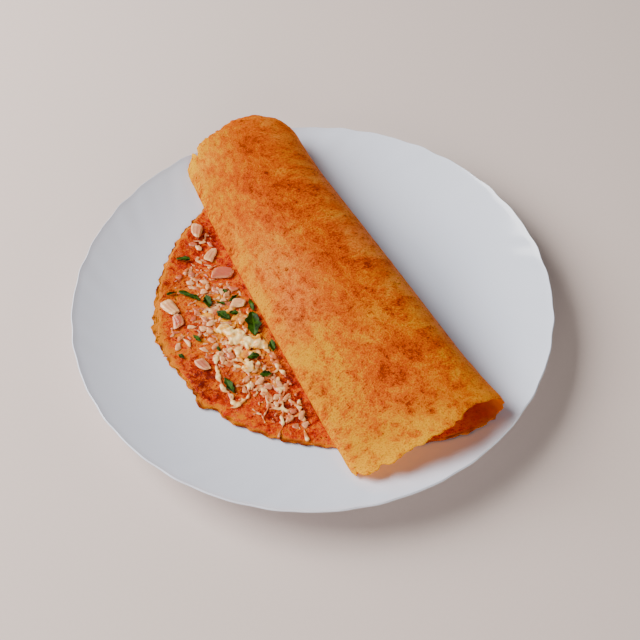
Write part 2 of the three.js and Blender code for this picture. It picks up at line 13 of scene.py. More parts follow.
import bpy
import numpy as np
from mathutils import Matrix, Vector, noise


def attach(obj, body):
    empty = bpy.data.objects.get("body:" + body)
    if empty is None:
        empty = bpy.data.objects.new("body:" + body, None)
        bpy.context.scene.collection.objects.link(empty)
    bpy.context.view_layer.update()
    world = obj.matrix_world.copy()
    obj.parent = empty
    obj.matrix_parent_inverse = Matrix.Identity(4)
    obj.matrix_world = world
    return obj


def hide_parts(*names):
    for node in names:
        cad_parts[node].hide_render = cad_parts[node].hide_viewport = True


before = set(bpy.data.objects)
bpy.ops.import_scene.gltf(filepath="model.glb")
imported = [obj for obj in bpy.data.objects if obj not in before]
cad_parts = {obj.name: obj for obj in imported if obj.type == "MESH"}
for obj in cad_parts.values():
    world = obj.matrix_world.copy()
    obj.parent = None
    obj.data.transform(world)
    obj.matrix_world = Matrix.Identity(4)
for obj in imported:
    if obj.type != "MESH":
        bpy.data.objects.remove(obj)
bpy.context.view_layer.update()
LOG = logging.getLogger("dosa")

Piece = bpy.types.Object
Tree = bpy.types.NodeTree
Socket = bpy.types.NodeSocket
Array = np.ndarray

# Lengths are in millimetres up to the mesh, which is in metres
MM = 0.001


def smoothstep(value: Array, low: float, high: float) -> Array:
    """Soft step from 0 at low to 1 at high.

    Args:
        value: Numbers to step.
        low: Where the step starts.
        high: Where it ends.

    Returns:
        Numbers from 0 to 1.
    """
    share = np.clip((value - low) / (high - low), 0.0, 1.0)
    return share * share * (3.0 - 2.0 * share)


def mix(low: float, high: float, share: float) -> float:
    """Returns the value a share of the way from low to high."""
    return low + (high - low) * share


def bump(distance: Array, size: float, width: float) -> Array:
    """Returns a round bump of a size and half width, at a distance from its middle."""
    return size * np.exp(-((distance / width) ** 2))


def deselect() -> None:
    """Leaves edit mode and clears the selection."""
    if bpy.context.mode != "OBJECT":
        bpy.ops.object.mode_set(mode="OBJECT")
    bpy.ops.object.select_all(action="DESELECT")


def take(piece: Piece) -> Piece:
    """Makes one piece the only selected and active one.

    Args:
        piece: The piece.

    Returns:
        The same piece.
    """
    deselect()
    piece.select_set(True)
    bpy.context.view_layer.objects.active = piece
    return piece


def named(name: str) -> Piece:
    """Names the piece just made and its mesh.

    Args:
        name: Their name.

    Returns:
        The piece.
    """
    piece = bpy.context.object
    piece.name = name
    piece.data.name = name
    return piece


def points_of(piece: Piece) -> Array:
    """Returns the piece's vertices in millimetres, one row each."""
    flat = np.empty(len(piece.data.vertices) * 3, dtype=np.float32)
    piece.data.vertices.foreach_get("co", flat)
    return flat.reshape(-1, 3).astype(float) / MM


def set_points(piece: Piece, points: Array) -> None:
    """Moves the piece's vertices to places in millimetres."""
    piece.data.vertices.foreach_set("co", (points * MM).astype(np.float32).ravel())
    piece.data.update()


def apply_modifier(piece: Piece, kind: str, **settings) -> None:
    """Adds a modifier with its settings and applies it.

    Args:
        piece: The piece to change.
        kind: Blender's name for the modifier's kind.
        settings: The modifier's properties.
    """
    take(piece)
    modifier = piece.modifiers.new(kind.title(), kind)
    for key, value in settings.items():
        setattr(modifier, key, value)
    bpy.ops.object.modifier_apply(modifier=modifier.name)


def set_number(piece: Piece, name: str, values: Array) -> None:
    """Stores a number from 0 to 1 for each vertex, under a name that a material reads."""
    attribute = piece.data.attributes.new(name, "FLOAT", "POINT")
    attribute.data.foreach_set("value", np.clip(values, 0.0, 1.0).astype(np.float32))


def new_piece(name: str, primitive: Callable, **settings) -> Piece:
    """Adds a primitive with its settings under a name and returns it."""
    deselect()
    primitive(**settings)
    return named(name)


def soft_block(name: str, cuts: int, roundness: float, levels: int) -> tuple[Piece, Array]:
    """Models a block with soft corners.

    Args:
        name: Name of the block.
        cuts: Cuts across each side.
        roundness: How far it goes towards a ball, from 0 to 1.
        levels: Levels of smoothing.

    Returns:
        The block, and its points from -1 to 1 along each axis.
    """
    piece = new_piece(name, bpy.ops.mesh.primitive_cube_add, size=1)
    bpy.ops.object.mode_set(mode="EDIT")
    bpy.ops.mesh.select_all(action="SELECT")
    bpy.ops.mesh.subdivide(number_cuts=cuts)
    bpy.ops.transform.tosphere(value=roundness)
    bpy.ops.object.mode_set(mode="OBJECT")
    if levels:
        apply_modifier(piece, "SUBSURF", levels=levels, render_levels=levels)
    unit = points_of(piece) * MM
    return piece, unit / np.abs(unit).max(axis=0)


def join_copies(name: str, template: Piece, placed: list[Array]) -> Piece:
    """Joins copies of one mesh, each with its own points, into one piece.

    Args:
        name: Name of the joined piece.
        template: The shape that repeats. It is removed.
        placed: The points of each copy, in millimetres.

    Returns:
        The joined piece.
    """
    size = len(template.data.vertices)
    faces = [tuple(polygon.vertices) for polygon in template.data.polygons]
    joined = [tuple(v + size * k for v in face) for k in range(len(placed)) for face in faces]
    mesh = bpy.data.meshes.new(name)
    mesh.from_pydata((np.concatenate(placed) * MM).tolist(), [], joined)
    piece = bpy.data.objects.new(name, mesh)
    bpy.context.scene.collection.objects.link(piece)
    bpy.data.objects.remove(template)
    return piece


def melt(piece: Piece, voxel: float, smooth: int) -> Piece:
    """Melts the closed shapes of a piece into one skin, with cells of a size, and smooths it."""
    apply_modifier(piece, "REMESH", mode="VOXEL", voxel_size=voxel * MM)
    apply_modifier(piece, "SMOOTH", factor=0.5, iterations=smooth)
    return piece


def dress(piece: Piece, slot: str, *nodes: str, material: bpy.types.Material | None = None,
          angle: float = 180.0) -> Piece:
    """Finishes a piece and hands it over.

    Args:
        piece: The piece.
        slot: The material slot that it belongs to; not used.
        nodes: The solids that it stands for.
        material: Its finish, where it has none yet.
        angle: It is shaded smooth across edges flatter than this, in degrees.

    Returns:
        The piece.
    """
    take(piece)
    bpy.ops.object.shade_smooth_by_angle(angle=math.radians(angle))
    if material:
        piece.data.materials.append(material)
    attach(piece, "root")
    if nodes:
        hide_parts(*nodes)
    LOG.info("%s: %d faces", piece.name, len(piece.data.polygons))
    return piece


# Finishes


def linear(colour: str) -> tuple[float, float, float, float]:
    """Turns an sRGB hex colour to linear light.

    Args:
        colour: Six hex digits.

    Returns:
        Red, green, blue and an alpha of 1.
    """
    parts = [int(colour[i : i + 2], 16) / 255 for i in (0, 2, 4)]
    red, green, blue = (p / 12.92 if p <= 0.04045 else ((p + 0.055) / 1.055) ** 2.4 for p in parts)
    return (red, green, blue, 1.0)


def add_node(tree: Tree, kind: str, inputs: dict | None = None, out: int | str = 0, stops: tuple = (),
             **settings) -> Socket:
    """Adds one shader node with its settings and links.

    Args:
        tree: The material's node tree.
        kind: The node's type without the ShaderNode prefix.
        inputs: For each socket, by name or number, a value, a hex colour, a socket to link, or an @ and
            the name of one of the piece's attributes.
        out: The output to return, by name or number.
        stops: For a colour ramp, its (place, hex colour) pairs.
        settings: The node's properties.

    Returns:
        The chosen output of the node, or None where it has none.
    """
    node = tree.nodes.new("ShaderNode" + kind)
    for key, value in settings.items():
        setattr(node, key, value)
    for key, value in (inputs or {}).items():
        if isinstance(value, str) and value.startswith("@"):
            value = add_node(tree, "Attribute", out="Fac", attribute_name=value[1:])
        if isinstance(value, Socket):
            tree.links.new(value, node.inputs[key])
        else:
            node.inputs[key].default_value = linear(value) if isinstance(value, str) else value
    for number, (at, colour) in enumerate(stops):
        elements = node.color_ramp.elements
        element = elements[number] if number < 2 else elements.new(at)
        element.position = at
        element.color = linear(colour)
    return node.outputs[out] if node.outputs else None


def tint(tree: Tree, base: Socket | str, colour: str, amount: float | str, pattern: Socket | str,
         low: float = 0.0, high: float = 1.0) -> Socket:
    """Lays a colour over a base where a pattern goes from low to high.

    Args:
        tree: The material's node tree.
        base: The colour below.
        colour: The colour on top.
        amount: How strong it gets: a number or an attribute.
        pattern: A pattern or an attribute.
        low: The pattern's value where none of the colour shows.
        high: The pattern's value where it shows most.

    Returns:
        The mixed colour.
    """
    some = add_node(tree, "MapRange", {"Value": pattern, "From Min": low, "From Max": high})
    share = add_node(tree, "Math", {0: some, 1: amount}, operation="MULTIPLY")
    return add_node(tree, "Mix", {0: share, 6: base, 7: colour}, 2, data_type="RGBA")


def per(size: float) -> float:
    """Returns the scale of a pattern with cells of a size in millimetres."""
    return 1 / (size * MM)


@dataclass(frozen=True)
class Finish:
    """A finish: the base of all, which turns the surface that each one describes into a material."""

    title: str = ""

    def surface(self, tree: Tree) -> Socket:
        """Builds the nodes of the surface and returns its shader."""
        raise NotImplementedError

    def material(self) -> bpy.types.Material:
        """Makes the material, which is named for the real one.

        Returns:
            The material.
        """
        material = bpy.data.materials.new(self.title)
        material.use_nodes = True
        material.node_tree.nodes.clear()
        add_node(material.node_tree, "OutputMaterial", {"Surface": self.surface(material.node_tree)})
        return material


@dataclass(frozen=True)
class OpalGlass(Finish):
    """Pressed opal glass: bluish white through and through, with a fire-polished gloss."""

    title: str = "pressed_opal_glass"
    body: str = "d6deee"
    shaded: str = "ced7e9"
    ripple_mm: float = 55.0

    def surface(self, tree: Tree) -> Socket:
        """Builds the glass: even white with a faint slow unevenness from pressing.

        Args:
            tree: The material's node tree.

        Returns:
            The surface's shader.
        """
        place = add_node(tree, "TexCoord", out="Object")
        ripple = add_node(tree, "TexNoise", {"Vector": place, "Scale": per(self.ripple_mm), "Detail": 1.0})
        tone = tint(tree, self.body, self.shaded, 1.0, ripple)
        relief = add_node(tree, "Bump", {"Height": ripple, "Strength": 0.25, "Distance": 0.5 * MM})
        return add_node(tree, "BsdfPrincipled", {
            "Base Color": tone, "Roughness": 0.13, "IOR": 1.52, "Normal": relief, "Specular IOR Level": 0.42})


@dataclass(frozen=True)
class GriddledCrust(Finish):
    """Outer face of a fermented rice batter, browned on an oiled griddle, with a coat of ghee."""

    title: str = "griddled_dosa_crust"
    browning: tuple = ((0.0, "b48200"), (1.0, "5c200a"), (0.18, "b26e00"), (0.36, "ad5a00"),
                       (0.54, "a74900"), (0.72, "9a3c01"), (0.87, "7e2c06"))
    # Pale patches: painted sheen atop the roll, painted light on its shaded side, and a few paler spots of
    # batter
    pale: str = "ce7a3c"
    yellow: str = "ca9a00"
    pore: str = "461408"
    speck: str = "6a2006"
    crisp: str = "5e1606"
    glow: str = "ffd400"
    patch_mm: float = 8.0
    grain_mm: float = 0.9
    pore_mm: float = 1.5
    pore_patch_mm: float = 4.0

    def surface(self, tree: Tree) -> Socket:
        """Builds the crust: browning in even grain from patches to specks, pores and a fat sheen, partly
        painted in salmon.

        Args:
            tree: The material's node tree.

        Returns:
            The surface's shader.
        """
        place = add_node(tree, "TexCoord", out="UV")
        # Browning varies about as much at every grain, from 8 mm patches down to 0.4 mm specks
        mottle = add_node(tree, "TexNoise", {"Vector": place, "Scale": per(self.patch_mm), "Detail": 5.0,
                                             "Roughness": 0.86, "Distortion": 0.15})
        grain = add_node(tree, "TexNoise", {"Vector": place, "Scale": per(self.grain_mm), "Detail": 1.0,
                                            "Roughness": 0.7})
        level = add_node(tree, "Math", {0: mottle, 1: 2.5, 2: "@toast"}, operation="MULTIPLY_ADD")
        level = add_node(tree, "Math", {0: grain, 1: level}, operation="ADD")
        level = add_node(tree, "Math", {0: level, 1: 1.78}, operation="SUBTRACT")
        colour = add_node(tree, "ValToRGB", {"Fac": level}, stops=self.browning)
        # Painted sheen and painted light, with a few paler spots of batter, where the pale patches lie
        colour = tint(tree, colour, self.pale, "@pale", mottle, 0.62, 0.42)
        colour = tint(tree, colour, self.yellow, "@yellow", mottle, 0.6, 0.46)
        # Fine brown specks between the pores, where the batter's grains have caught
        colour = tint(tree, colour, self.speck, 0.62, grain, 0.48, 0.76)
        # Gas holes of the ferment, burnt at their rims: a dot in some cells only
        cells = add_node(tree, "TexVoronoi", {"Vector": place, "Scale": per(self.pore_mm)})
        where = add_node(tree, "TexNoise", {
            "Vector": place, "Scale": per(self.pore_patch_mm), "Detail": 2.0})
        where = add_node(tree, "Math", {0: "@pale", 1: 0.16, 2: where}, operation="MULTIPLY_ADD")
        reach = add_node(tree, "MapRange", {
            "Value": where, "From Min": 0.45, "From Max": 0.7, "To Max": 0.32})
        dots = add_node(tree, "Math", {0: cells, 1: reach}, operation="LESS_THAN")
        colour = tint(tree, colour, self.pore, 0.72, dots)
        colour = tint(tree, colour, self.crisp, 1.0, "@crisp")
        height = add_node(tree, "Math", {0: dots, 1: -0.3, 2: grain}, operation="MULTIPLY_ADD")
        relief = add_node(tree, "Bump", {"Height": height, "Strength": 1.0, "Distance": 0.22 * MM})
        relief = add_node(tree, "Bump", {"Height": mottle, "Strength": 1.0, "Distance": 0.9 * MM,
                                         "Normal": relief})
        # The crisp sheet is so thin that light goes through it: half of it is sent on, not back
        raised = add_node(tree, "HueSaturation", {"Value": 1.65, "Color": colour})
        crust = add_node(tree, "BsdfPrincipled", {
            "Base Color": raised, "Roughness": 0.55, "Specular IOR Level": 0.03, "Normal": relief})
        passed = add_node(tree, "Mix", {0: 0.5, 6: self.glow, 7: raised}, 2, data_type="RGBA")
        glow = add_node(tree, "BsdfTranslucent", {"Color": passed})
        return add_node(tree, "MixShader", {0: "@thin", 1: crust, 2: glow})


@dataclass(frozen=True)
class KaramFace(Finish):
    """Inner face of the sheet, spread with oily red chilli paste that pools and dries in patches."""

    title: str = "karam_chilli_paste"
    spread: tuple = ((0.0, "b86600"), (1.0, "540802"), (0.2, "b85200"), (0.4, "b03600"), (0.58, "9a1a00"),
                     (0.76, "801000"))
    gold: str = "b66800"
    amber: str = "ba7c00"
    speck: str = "4c1405"
    crisp: str = "5e1606"
    glow: str = "ffc000"
    patch_mm: float = 5.0
    speck_mm: float = 2.6

    def surface(self, tree: Tree) -> Socket:
        """Builds the paste: red over orange, dark pools, run ghee, a bare golden edge band and specks.

        Args:
            tree: The material's node tree.

        Returns:
            The surface's shader.
        """
        place = add_node(tree, "TexCoord", out="UV")
        patch = add_node(tree, "TexNoise", {"Vector": place, "Scale": per(self.patch_mm), "Detail": 5.0,
                                            "Roughness": 0.95, "Distortion": 0.4})
        level = add_node(tree, "Math", {0: patch, 1: 3.8, 2: "@paste"}, operation="MULTIPLY_ADD")
        level = add_node(tree, "Math", {0: level, 1: 1.9}, operation="SUBTRACT")
        colour = add_node(tree, "ValToRGB", {"Fac": level}, stops=self.spread)
        # Clear yellow ghee that has run out of the cheese
        colour = tint(tree, colour, self.amber, "@amber", patch, 0.6, 0.44)
        bare = add_node(tree, "Math", {0: patch, 1: -2.2, 2: "@bare"}, operation="MULTIPLY_ADD")
        colour = tint(tree, colour, self.gold, 1.0, bare, -1.1, -0.4)
        cells = add_node(tree, "TexVoronoi", {"Vector": place, "Scale": per(self.speck_mm)})
        dots = add_node(tree, "Math", {0: cells, 1: 0.15}, operation="LESS_THAN")
        colour = tint(tree, colour, self.speck, 0.6, dots)
        colour = tint(tree, colour, self.crisp, 1.0, "@crisp")
        relief = add_node(tree, "Bump", {"Height": patch, "Strength": 0.7, "Distance": 1.2 * MM})
        raised = add_node(tree, "HueSaturation", {"Value": 1.25, "Color": colour})
        paste = add_node(tree, "BsdfPrincipled", {
            "Base Color": raised, "Roughness": 0.24, "Specular IOR Level": 0.07, "Normal": relief})
        glow = add_node(tree, "BsdfTranslucent", {"Color": self.glow})
        share = add_node(tree, "Math", {0: "@thin", 1: 1.7}, operation="MULTIPLY")
        return add_node(tree, "MixShader", {0: share, 1: paste, 2: glow})


@dataclass(frozen=True)
class MoistBit(Finish):
    """A moist topping: two tones by the piece, a stain by its own map, soft depth and a wet gloss."""

    first: str = "ffffff"
    second: str = "ffffff"
    stain: str = "ffffff"
    stain_from: tuple[float, float] = (0.35, 0.7)
    grain_mm: float = 2.2
    waver: float = 0.8
    relief_mm: float = 0.3
    roughness: float = 0.16
    index: float = 1.4
    depth: float = 0.45
    radius: tuple[float, float, float] = (1.0, 0.5, 0.35)

    def surface(self, tree: Tree) -> Socket:
        """Builds the flesh of the topping.

        Args:
            tree: The material's node tree.

        Returns:
            The surface's shader.
        """
        place = add_node(tree, "TexCoord", out="Object")
        grain = add_node(tree, "TexNoise", {"Vector": place, "Scale": per(self.grain_mm), "Detail": 3.0,
                                            "Distortion": self.waver})
        colour = tint(tree, self.first, self.second, 1.0, "@tone")
        colour = tint(tree, colour, self.stain, "@stain", grain, *self.stain_from)
        relief = add_node(tree, "Bump", {"Height": grain, "Strength": 0.3, "Distance": self.relief_mm * MM})
        return add_node(tree, "BsdfPrincipled", {
            "Base Color": colour, "Roughness": self.roughness, "IOR": self.index, "Normal": relief,
            "Subsurface Weight": self.depth, "Subsurface Radius": self.radius, "Subsurface Scale": 1.6 * MM})


# Chopped red onion: half clear flesh with faint fibres, from white to pink, stained by the paste's oil
RAW_ONION = MoistBit("raw_onion_flesh", first="e4b27c", second="b05a44", stain="b65206")
# Grated cheese melted on the hot griddle: cream, peach where thin, with yellow ghee in its hollows
MELTED_CHEESE = MoistBit(
    "melted_cheese", first="fadc92", second="bc6434", stain="e09400", stain_from=(0.38, 0.52), grain_mm=4.5,
    waver=0.3, relief_mm=0.5, roughness=0.25, index=1.45, depth=0.35, radius=(1.0, 0.7, 0.4))


@dataclass(frozen=True)
class DryBit(Finish):
    """A dry or waxy thing of two tones by patches, with veins where it has a map of them."""

    first: str = "ffffff"
    second: str = "ffffff"
    vein: str = ""
    patch_mm: float = 3.0
    detail: float = 3.0
    change: tuple[float, float] = (0.38, 0.62)
    roughness: float = 0.5
    gloss: float = 0.1

    def surface(self, tree: Tree) -> Socket:
        """Builds the two tones, the veins and the gloss.

        Args:
            tree: The material's node tree.

        Returns:
            The surface's shader.
        """
        place = add_node(tree, "TexCoord", out="Object")
        patch = add_node(tree, "TexNoise", {
            "Vector": place, "Scale": per(self.patch_mm), "Detail": self.detail})
        colour = tint(tree, self.first, self.second, 1.0, patch, *self.change)
        if self.vein:
            colour = tint(tree, colour, self.vein, 0.5, "@vein")
        return add_node(tree, "BsdfPrincipled", {
            "Base Color": colour, "Roughness": self.roughness, "Specular IOR Level": self.gloss})


# Fresh coriander: dark waxy blades with paler veins
FRESH_CORIANDER = DryBit("fresh_coriander", first="0e1e02", second="264404", vein="4a7020")
# Crushed dried chilli skin and seed: dark red brown to nearly black, dulled by the paste's oil
DRIED_CHILLI = DryBit("dried_chilli", first="6a1705", second="2c0f06", patch_mm=4.0, detail=1.0,
                      change=(0.4, 0.6), gloss=0.12)
# Painted table top: pale, matt and nearly even
PAINTED_TABLE = DryBit("painted_table_top", first="d1c3be", second="cdbfba", patch_mm=2.0, detail=2.0,
                       change=(0.0, 1.0), roughness=0.9, gloss=0.2)


# Forms shared with the solids


@dataclass(frozen=True)
class PlateForm:
    """Form of the plate: a flat well, a rim that curves up to the edge, and a foot ring."""

    edge_radius: float = 135.0
    edge_height: float = 22.2
    well_radius: float = 78.0
    well_height: float = 4.6
    rim_curve: float = 1.7
    wall: float = 3.0
    foot_radius: float = 73.0
    foot_width: float = 4.0
    foot_height: float = 1.5
    groups: int = 16
    wide_share: float = 0.55
    wide_bearing: float = -21.8
    narrow_bearing: float = -26.4
    flute_start: float = 101.0
    edge_wave: float = 0.35
    flute_depth: float = 0.55
    flute_lean: float = 11.0

    def top(self, radius: Array) -> Array:
        """Returns the height of the upper face at a radius."""
        outward = np.maximum(0.0, radius - self.well_radius) / (self.edge_radius - self.well_radius)
        return self.well_height + (self.edge_height - self.well_height) * outward**self.rim_curve

    def scallop(self, bearing: Array) -> Array:
        """Returns the wave of the edge at a bearing in radians, from -1 to 1."""
        wide = np.cos(2 * self.groups * (bearing - math.radians(self.wide_bearing)))
        narrow = np.cos(3 * self.groups * (bearing - math.radians(self.narrow_bearing)))
        return mix(narrow, wide, self.wide_share)

    def fluted(self, points: Array) -> Array:
        """Presses the slanting flutes into a plain spun plate.

        Args:
            points: Vertices of the plain plate.

        Returns:
            The same vertices, waved towards the edge.
        """
        radius = np.hypot(points[:, 0], points[:, 1])
        bearing = np.arctan2(points[:, 1], points[:, 0])
        strength = smoothstep(radius, self.flute_start, self.edge_radius)
        outward = (radius - self.flute_start) / (self.edge_radius - self.flute_start)
        wave = self.scallop(bearing - math.radians(self.flute_lean) * (1 - outward))
        waved = radius + strength * self.edge_wave * wave
        height = points[:, 2] - strength * self.flute_depth * (1 - wave) / 2
        return np.column_stack([waved * np.cos(bearing), waved * np.sin(bearing), height])


class Edge(Enum):
    """The edges of the sheet, with the sign of y at those of the roll."""

    OPEN = 0
    NEAR = -1
    FAR = 1


@dataclass(frozen=True)
class Crag:
    """A torn place of the edge: where it is, how far it stands out and its half width."""

    at: float
    size: float
    width: float
    side: Edge = Edge.OPEN


@dataclass(frozen=True)
class SheetForm:
    """Form of the dosa: an oval sheet that lies on the plate and is rolled along its right side."""

    plate: PlateForm = PlateForm()
    gap: float = 0.45
    thickness: float = 1.8
    tip_x: float = -88.5
    middle_y: float = 6.4
    half: float = 117.6
    oval_length: float = 150.0
    flap_oval_start: float = 236.0
    flap_oval_length: float = 100.0
    # Distances along the sheet from its tip, where each stretch of the rolled section ends
    lie: float = 130.0
    lift: float = 152.0
    side: float = 178.0
    top: float = 250.0
    turn: float = 258.0
    flap: float = 318.0
    lie_even: float = 62.0
    # The rolled section at the near end, the middle and the far end of the roll
    side_x: tuple = (56.2, 49.8, 42.4)
    side_rise: tuple = (10.0, 12.5, 7.5)
    lie_reach: tuple = (11.0, 16.0, 15.0)
    crest_x: tuple = (38.5, 25.0, 11.0)
    crest_z: tuple = (37.4, 35.6, 42.4)
    crest_handle: tuple = (0.3, 0.46, 0.6)
    left_x: tuple = (-28.2, -28.0, -28.6)
    turn_radius: tuple = (1.7, 3.4, 4.6)
    shoulder_slope: tuple = (0.3, 0.75, 1.8)
    shoulder_handle: tuple = (0.5, 0.42, 0.4)
    # Handle lengths that make a cubic curve a quarter or a half of a round
    quarter: float = 0.55
    half_turn: float = 4.0 / 3.0
    near_swell: float = 5.0
    near_lip: Crag = Crag(118, 5.0, 24, Edge.NEAR)
    flap_end: float = 33.0
    flap_curl: float = 3.5
    wave: float = 0.5
    pitch: float = 9.0
    open_crags: tuple = (Crag(-15, 4, 1.3), Crag(-7, -2.2, 5), Crag(-18, -1.4, 1.6), Crag(-23, 1.2, 2),
                         Crag(7, 2, 3.4), Crag(24, -1, 10), Crag(45, -3, 12))
    roll_crags: tuple = (Crag(238, -4.2, 3.4, Edge.FAR), Crag(226, -1.2, 4, Edge.NEAR),
                         Crag(241, -2.2, 1.5, Edge.NEAR), Crag(247.5, 1.2, 2, Edge.NEAR),
                         Crag(251.5, -2.6, 1.4, Edge.NEAR), Crag(213, -0.9, 1.6, Edge.NEAR))
    far_trim: Crag = Crag(154, -6.5, 13, Edge.FAR)
    far_swell: Crag = Crag(178, 4.5, 16, Edge.FAR)

    def station(self, measure: tuple, y: Array) -> Array:
        """Blends a measure of the section between the near end, the middle and the far end."""
        near, middle, far = measure
        t = (y - self.middle_y + self.half) / (2 * self.half)
        return near * (1 - t) * (1 - 2 * t) + 4 * middle * t * (1 - t) + far * t * (2 * t - 1)

    def lying_height(self, x: Array, y: Array) -> Array:
        """Returns the middle height of a sheet that lies on the plate."""
        radius = np.hypot(x, y)
        slope = self.plate.top(radius + 0.5) - self.plate.top(radius - 0.5)
        return self.plate.top(radius) + self.gap + (self.thickness / 2) * np.hypot(1.0, slope)

    def open_face(self, x: Array, y: Array) -> Array:
        """Returns the height of the upper face where the sheet lies open."""
        return self.lying_height(x, y) + self.thickness / 2

    def half_width(self, along: Array) -> Array:
        """Returns half of the oval's width at a distance along the sheet."""
        outward = np.maximum(0.0, 1 - along / self.oval_length)
        in_flap = np.clip((along - self.flap_oval_start) / self.flap_oval_length, 0.0, 1.0)
        return self.half * np.sqrt(1 - outward**2) * np.sqrt(1 - in_flap**2)

    def flap_height(self, x: Array, y: Array) -> Array:
        """Returns the height of the flap, which rests on the bottom layer or else on the plate."""
        beside = self.half_width(x - self.tip_x) - np.abs(y - self.middle_y)
        return self.lying_height(x, y) + smoothstep(beside, -14.0, -4.0) * (self.thickness + self.gap)

    @staticmethod
    def curve(start: tuple, leave: tuple, arrive: tuple, end: tuple, t: Array) -> tuple:
        """Returns the place on a cubic curve, as x and z, at a share of its run."""
        u = 1 - t
        return tuple(u**3 * start[k] + 3 * u * u * t * leave[k] + 3 * u * t * t * arrive[k] + t**3 * end[k]
                     for k in (0, 1))

    def section(self, along: Array, y: Array) -> tuple[Array, Array]:
        """Rolls the sheet up.

        Args:
            along: Distances along the sheet from its tip.
            y: Places along the roll.

        Returns:
            The x and z of the middle of the sheet.
        """
        side_x = self.station(self.side_x, y)
        lift_x = side_x - self.station(self.lie_reach, y)
        lift = (lift_x, self.lying_height(lift_x, y))
        side = (side_x, lift[1] + self.station(self.side_rise, y))
        crest = (self.station(self.crest_x, y), self.station(self.crest_z, y))
        radius = self.station(self.turn_radius, y)
        turn_x = self.station(self.left_x, y) + radius
        flap = (turn_x, self.flap_height(turn_x, y))
        shoulder = (turn_x, flap[1] + 2 * radius)
        spare = lift_x - self.tip_x - self.lie
        lying_x = self.tip_x + along + spare * smoothstep(along, self.lie_even, self.lie)
        lying = (lying_x, self.lying_height(lying_x, y))
        reach = self.quarter * (side[0] - lift[0])
        slope = lift[1] - self.lying_height(lift_x - 1, y)
        rising = self.curve(lift, (lift[0] + reach, lift[1] + reach * slope),
                            (side[0], mix(side[1], lift[1], self.quarter)), side,
                            (along - self.lie) / (self.lift - self.lie))
        folding = self.curve(side, (side[0], mix(side[1], crest[1], self.quarter)),
                             (mix(crest[0], side[0], self.quarter), crest[1]), crest,
                             (along - self.lift) / (self.side - self.lift))
        fall = self.station(self.shoulder_slope, y)
        steep = np.hypot(1.0, fall)
        span = crest[0] - shoulder[0]
        reach = self.station(self.shoulder_handle, y) * span / steep
        covering = self.curve(crest, (crest[0] - self.station(self.crest_handle, y) * span, crest[1]),
                              (shoulder[0] + reach, shoulder[1] + reach * fall), shoulder,
                              (along - self.side) / (self.top - self.side))
        reach = self.half_turn * radius
        turning = self.curve(shoulder, (shoulder[0] - reach / steep, shoulder[1] - reach * fall / steep),
                             (flap[0] - reach, flap[1]), flap, (along - self.top) / (self.turn - self.top))
        t = (along - self.turn) / (self.flap - self.turn)
        tucked_x = flap[0] + (self.flap_end - flap[0]) * t
        tucked = (tucked_x, self.flap_height(tucked_x, y) + self.flap_curl * smoothstep(t, 0.6, 1.0) ** 2)
        stretches = [along <= self.lie, along <= self.lift, along <= self.side, along <= self.top,
                     along <= self.turn]
        shapes = (lying, rising, folding, covering, turning)
        return (np.select(stretches, [shape[0] for shape in shapes], tucked[0]),
                np.select(stretches, [shape[1] for shape in shapes], tucked[1]))

    def edge_y(self, along: Array, side: int) -> Array:
        """Places the near or far edge of the sheet before it is made ragged.

        Args:
            along: Distances along the sheet.
            side: -1 for the near edge or 1 for the far one.

        Returns:
            The y of the edge.
        """
        on_top = smoothstep(along, 180.0, 200.0) * (1 - smoothstep(along, 238.0, 262.0))
        uneven = self.near_swell * on_top if side < 0 else 0.0
        for crag in (self.near_lip, self.far_trim, self.far_swell):
            if crag.side.value == side:
                uneven = uneven + bump(along - crag.at, crag.size, crag.width)
        return self.middle_y + side * (self.half_width(along) + uneven)

    def raggedness(self, along: Array, y: Array, side: Array) -> Array:
        """Makes the edge ragged with small even waves and the torn crags.

        Args:
            along: Distances along the sheet.
            y: Places along the roll.
            side: -1 for the near side or 1 for the far one.

        Returns:
            How far the edge stands out.
        """
        away = y - self.middle_y
        run = np.where(along < self.lie, np.hypot(along, away) * np.sign(away), along)
        waves = np.sin(run * 2 * math.pi / self.pitch) + 0.7 * np.sin(run * 1.13 + side * 2)
        waves = waves + 0.5 * np.sin(run * 2.9 + 1)
        bearing = np.degrees(np.arctan2(away, self.oval_length - along))
        open_side = sum(bump(bearing - crag.at, crag.size, crag.width) for crag in self.open_crags)
        rolled = sum(bump(along - crag.at, crag.size, crag.width) * (side == crag.side.value)
                     for crag in self.roll_crags)
        waves = waves * mix(1.0, 0.5, smoothstep(along, self.lift, self.side))
        return self.wave * waves + np.where(along < self.lie, open_side, rolled)


def cover(rows: tuple, u: Array, v: Array) -> Array:
    """Adds up soft round patches.

    Args:
        rows: For each patch its middle (u, v), its reach along both and its amount.
        u: Places along the first axis.
        v: Places along the second.

    Returns:
        The total at each place.
    """
    return sum(amount * np.exp(-(((u - at_u) / reach_u) ** 2) - ((v - at_v) / reach_v) ** 2)
               for at_u, at_v, reach_u, reach_v, amount in rows)


def cloud(places: Array, grain: float, octaves: int = 3, seed: float = 0.0) -> Array:
    """Returns repeatable cloudy numbers about 0.

    Args:
        places: Rows of two or three coordinates.
        grain: Size of the largest clouds, in the same units.
        octaves: Number of layers.
        seed: Shifts the pattern to another part of the noise.

    Returns:
        One number for each row, mostly from -1 to 1.
    """
    rows = np.column_stack([places + seed, np.zeros((len(places), 3 - places.shape[1]))]) / grain
    return np.array([noise.fractal(Vector(row), 1.0, 2.0, octaves) for row in rows])


# Sub-assemblies


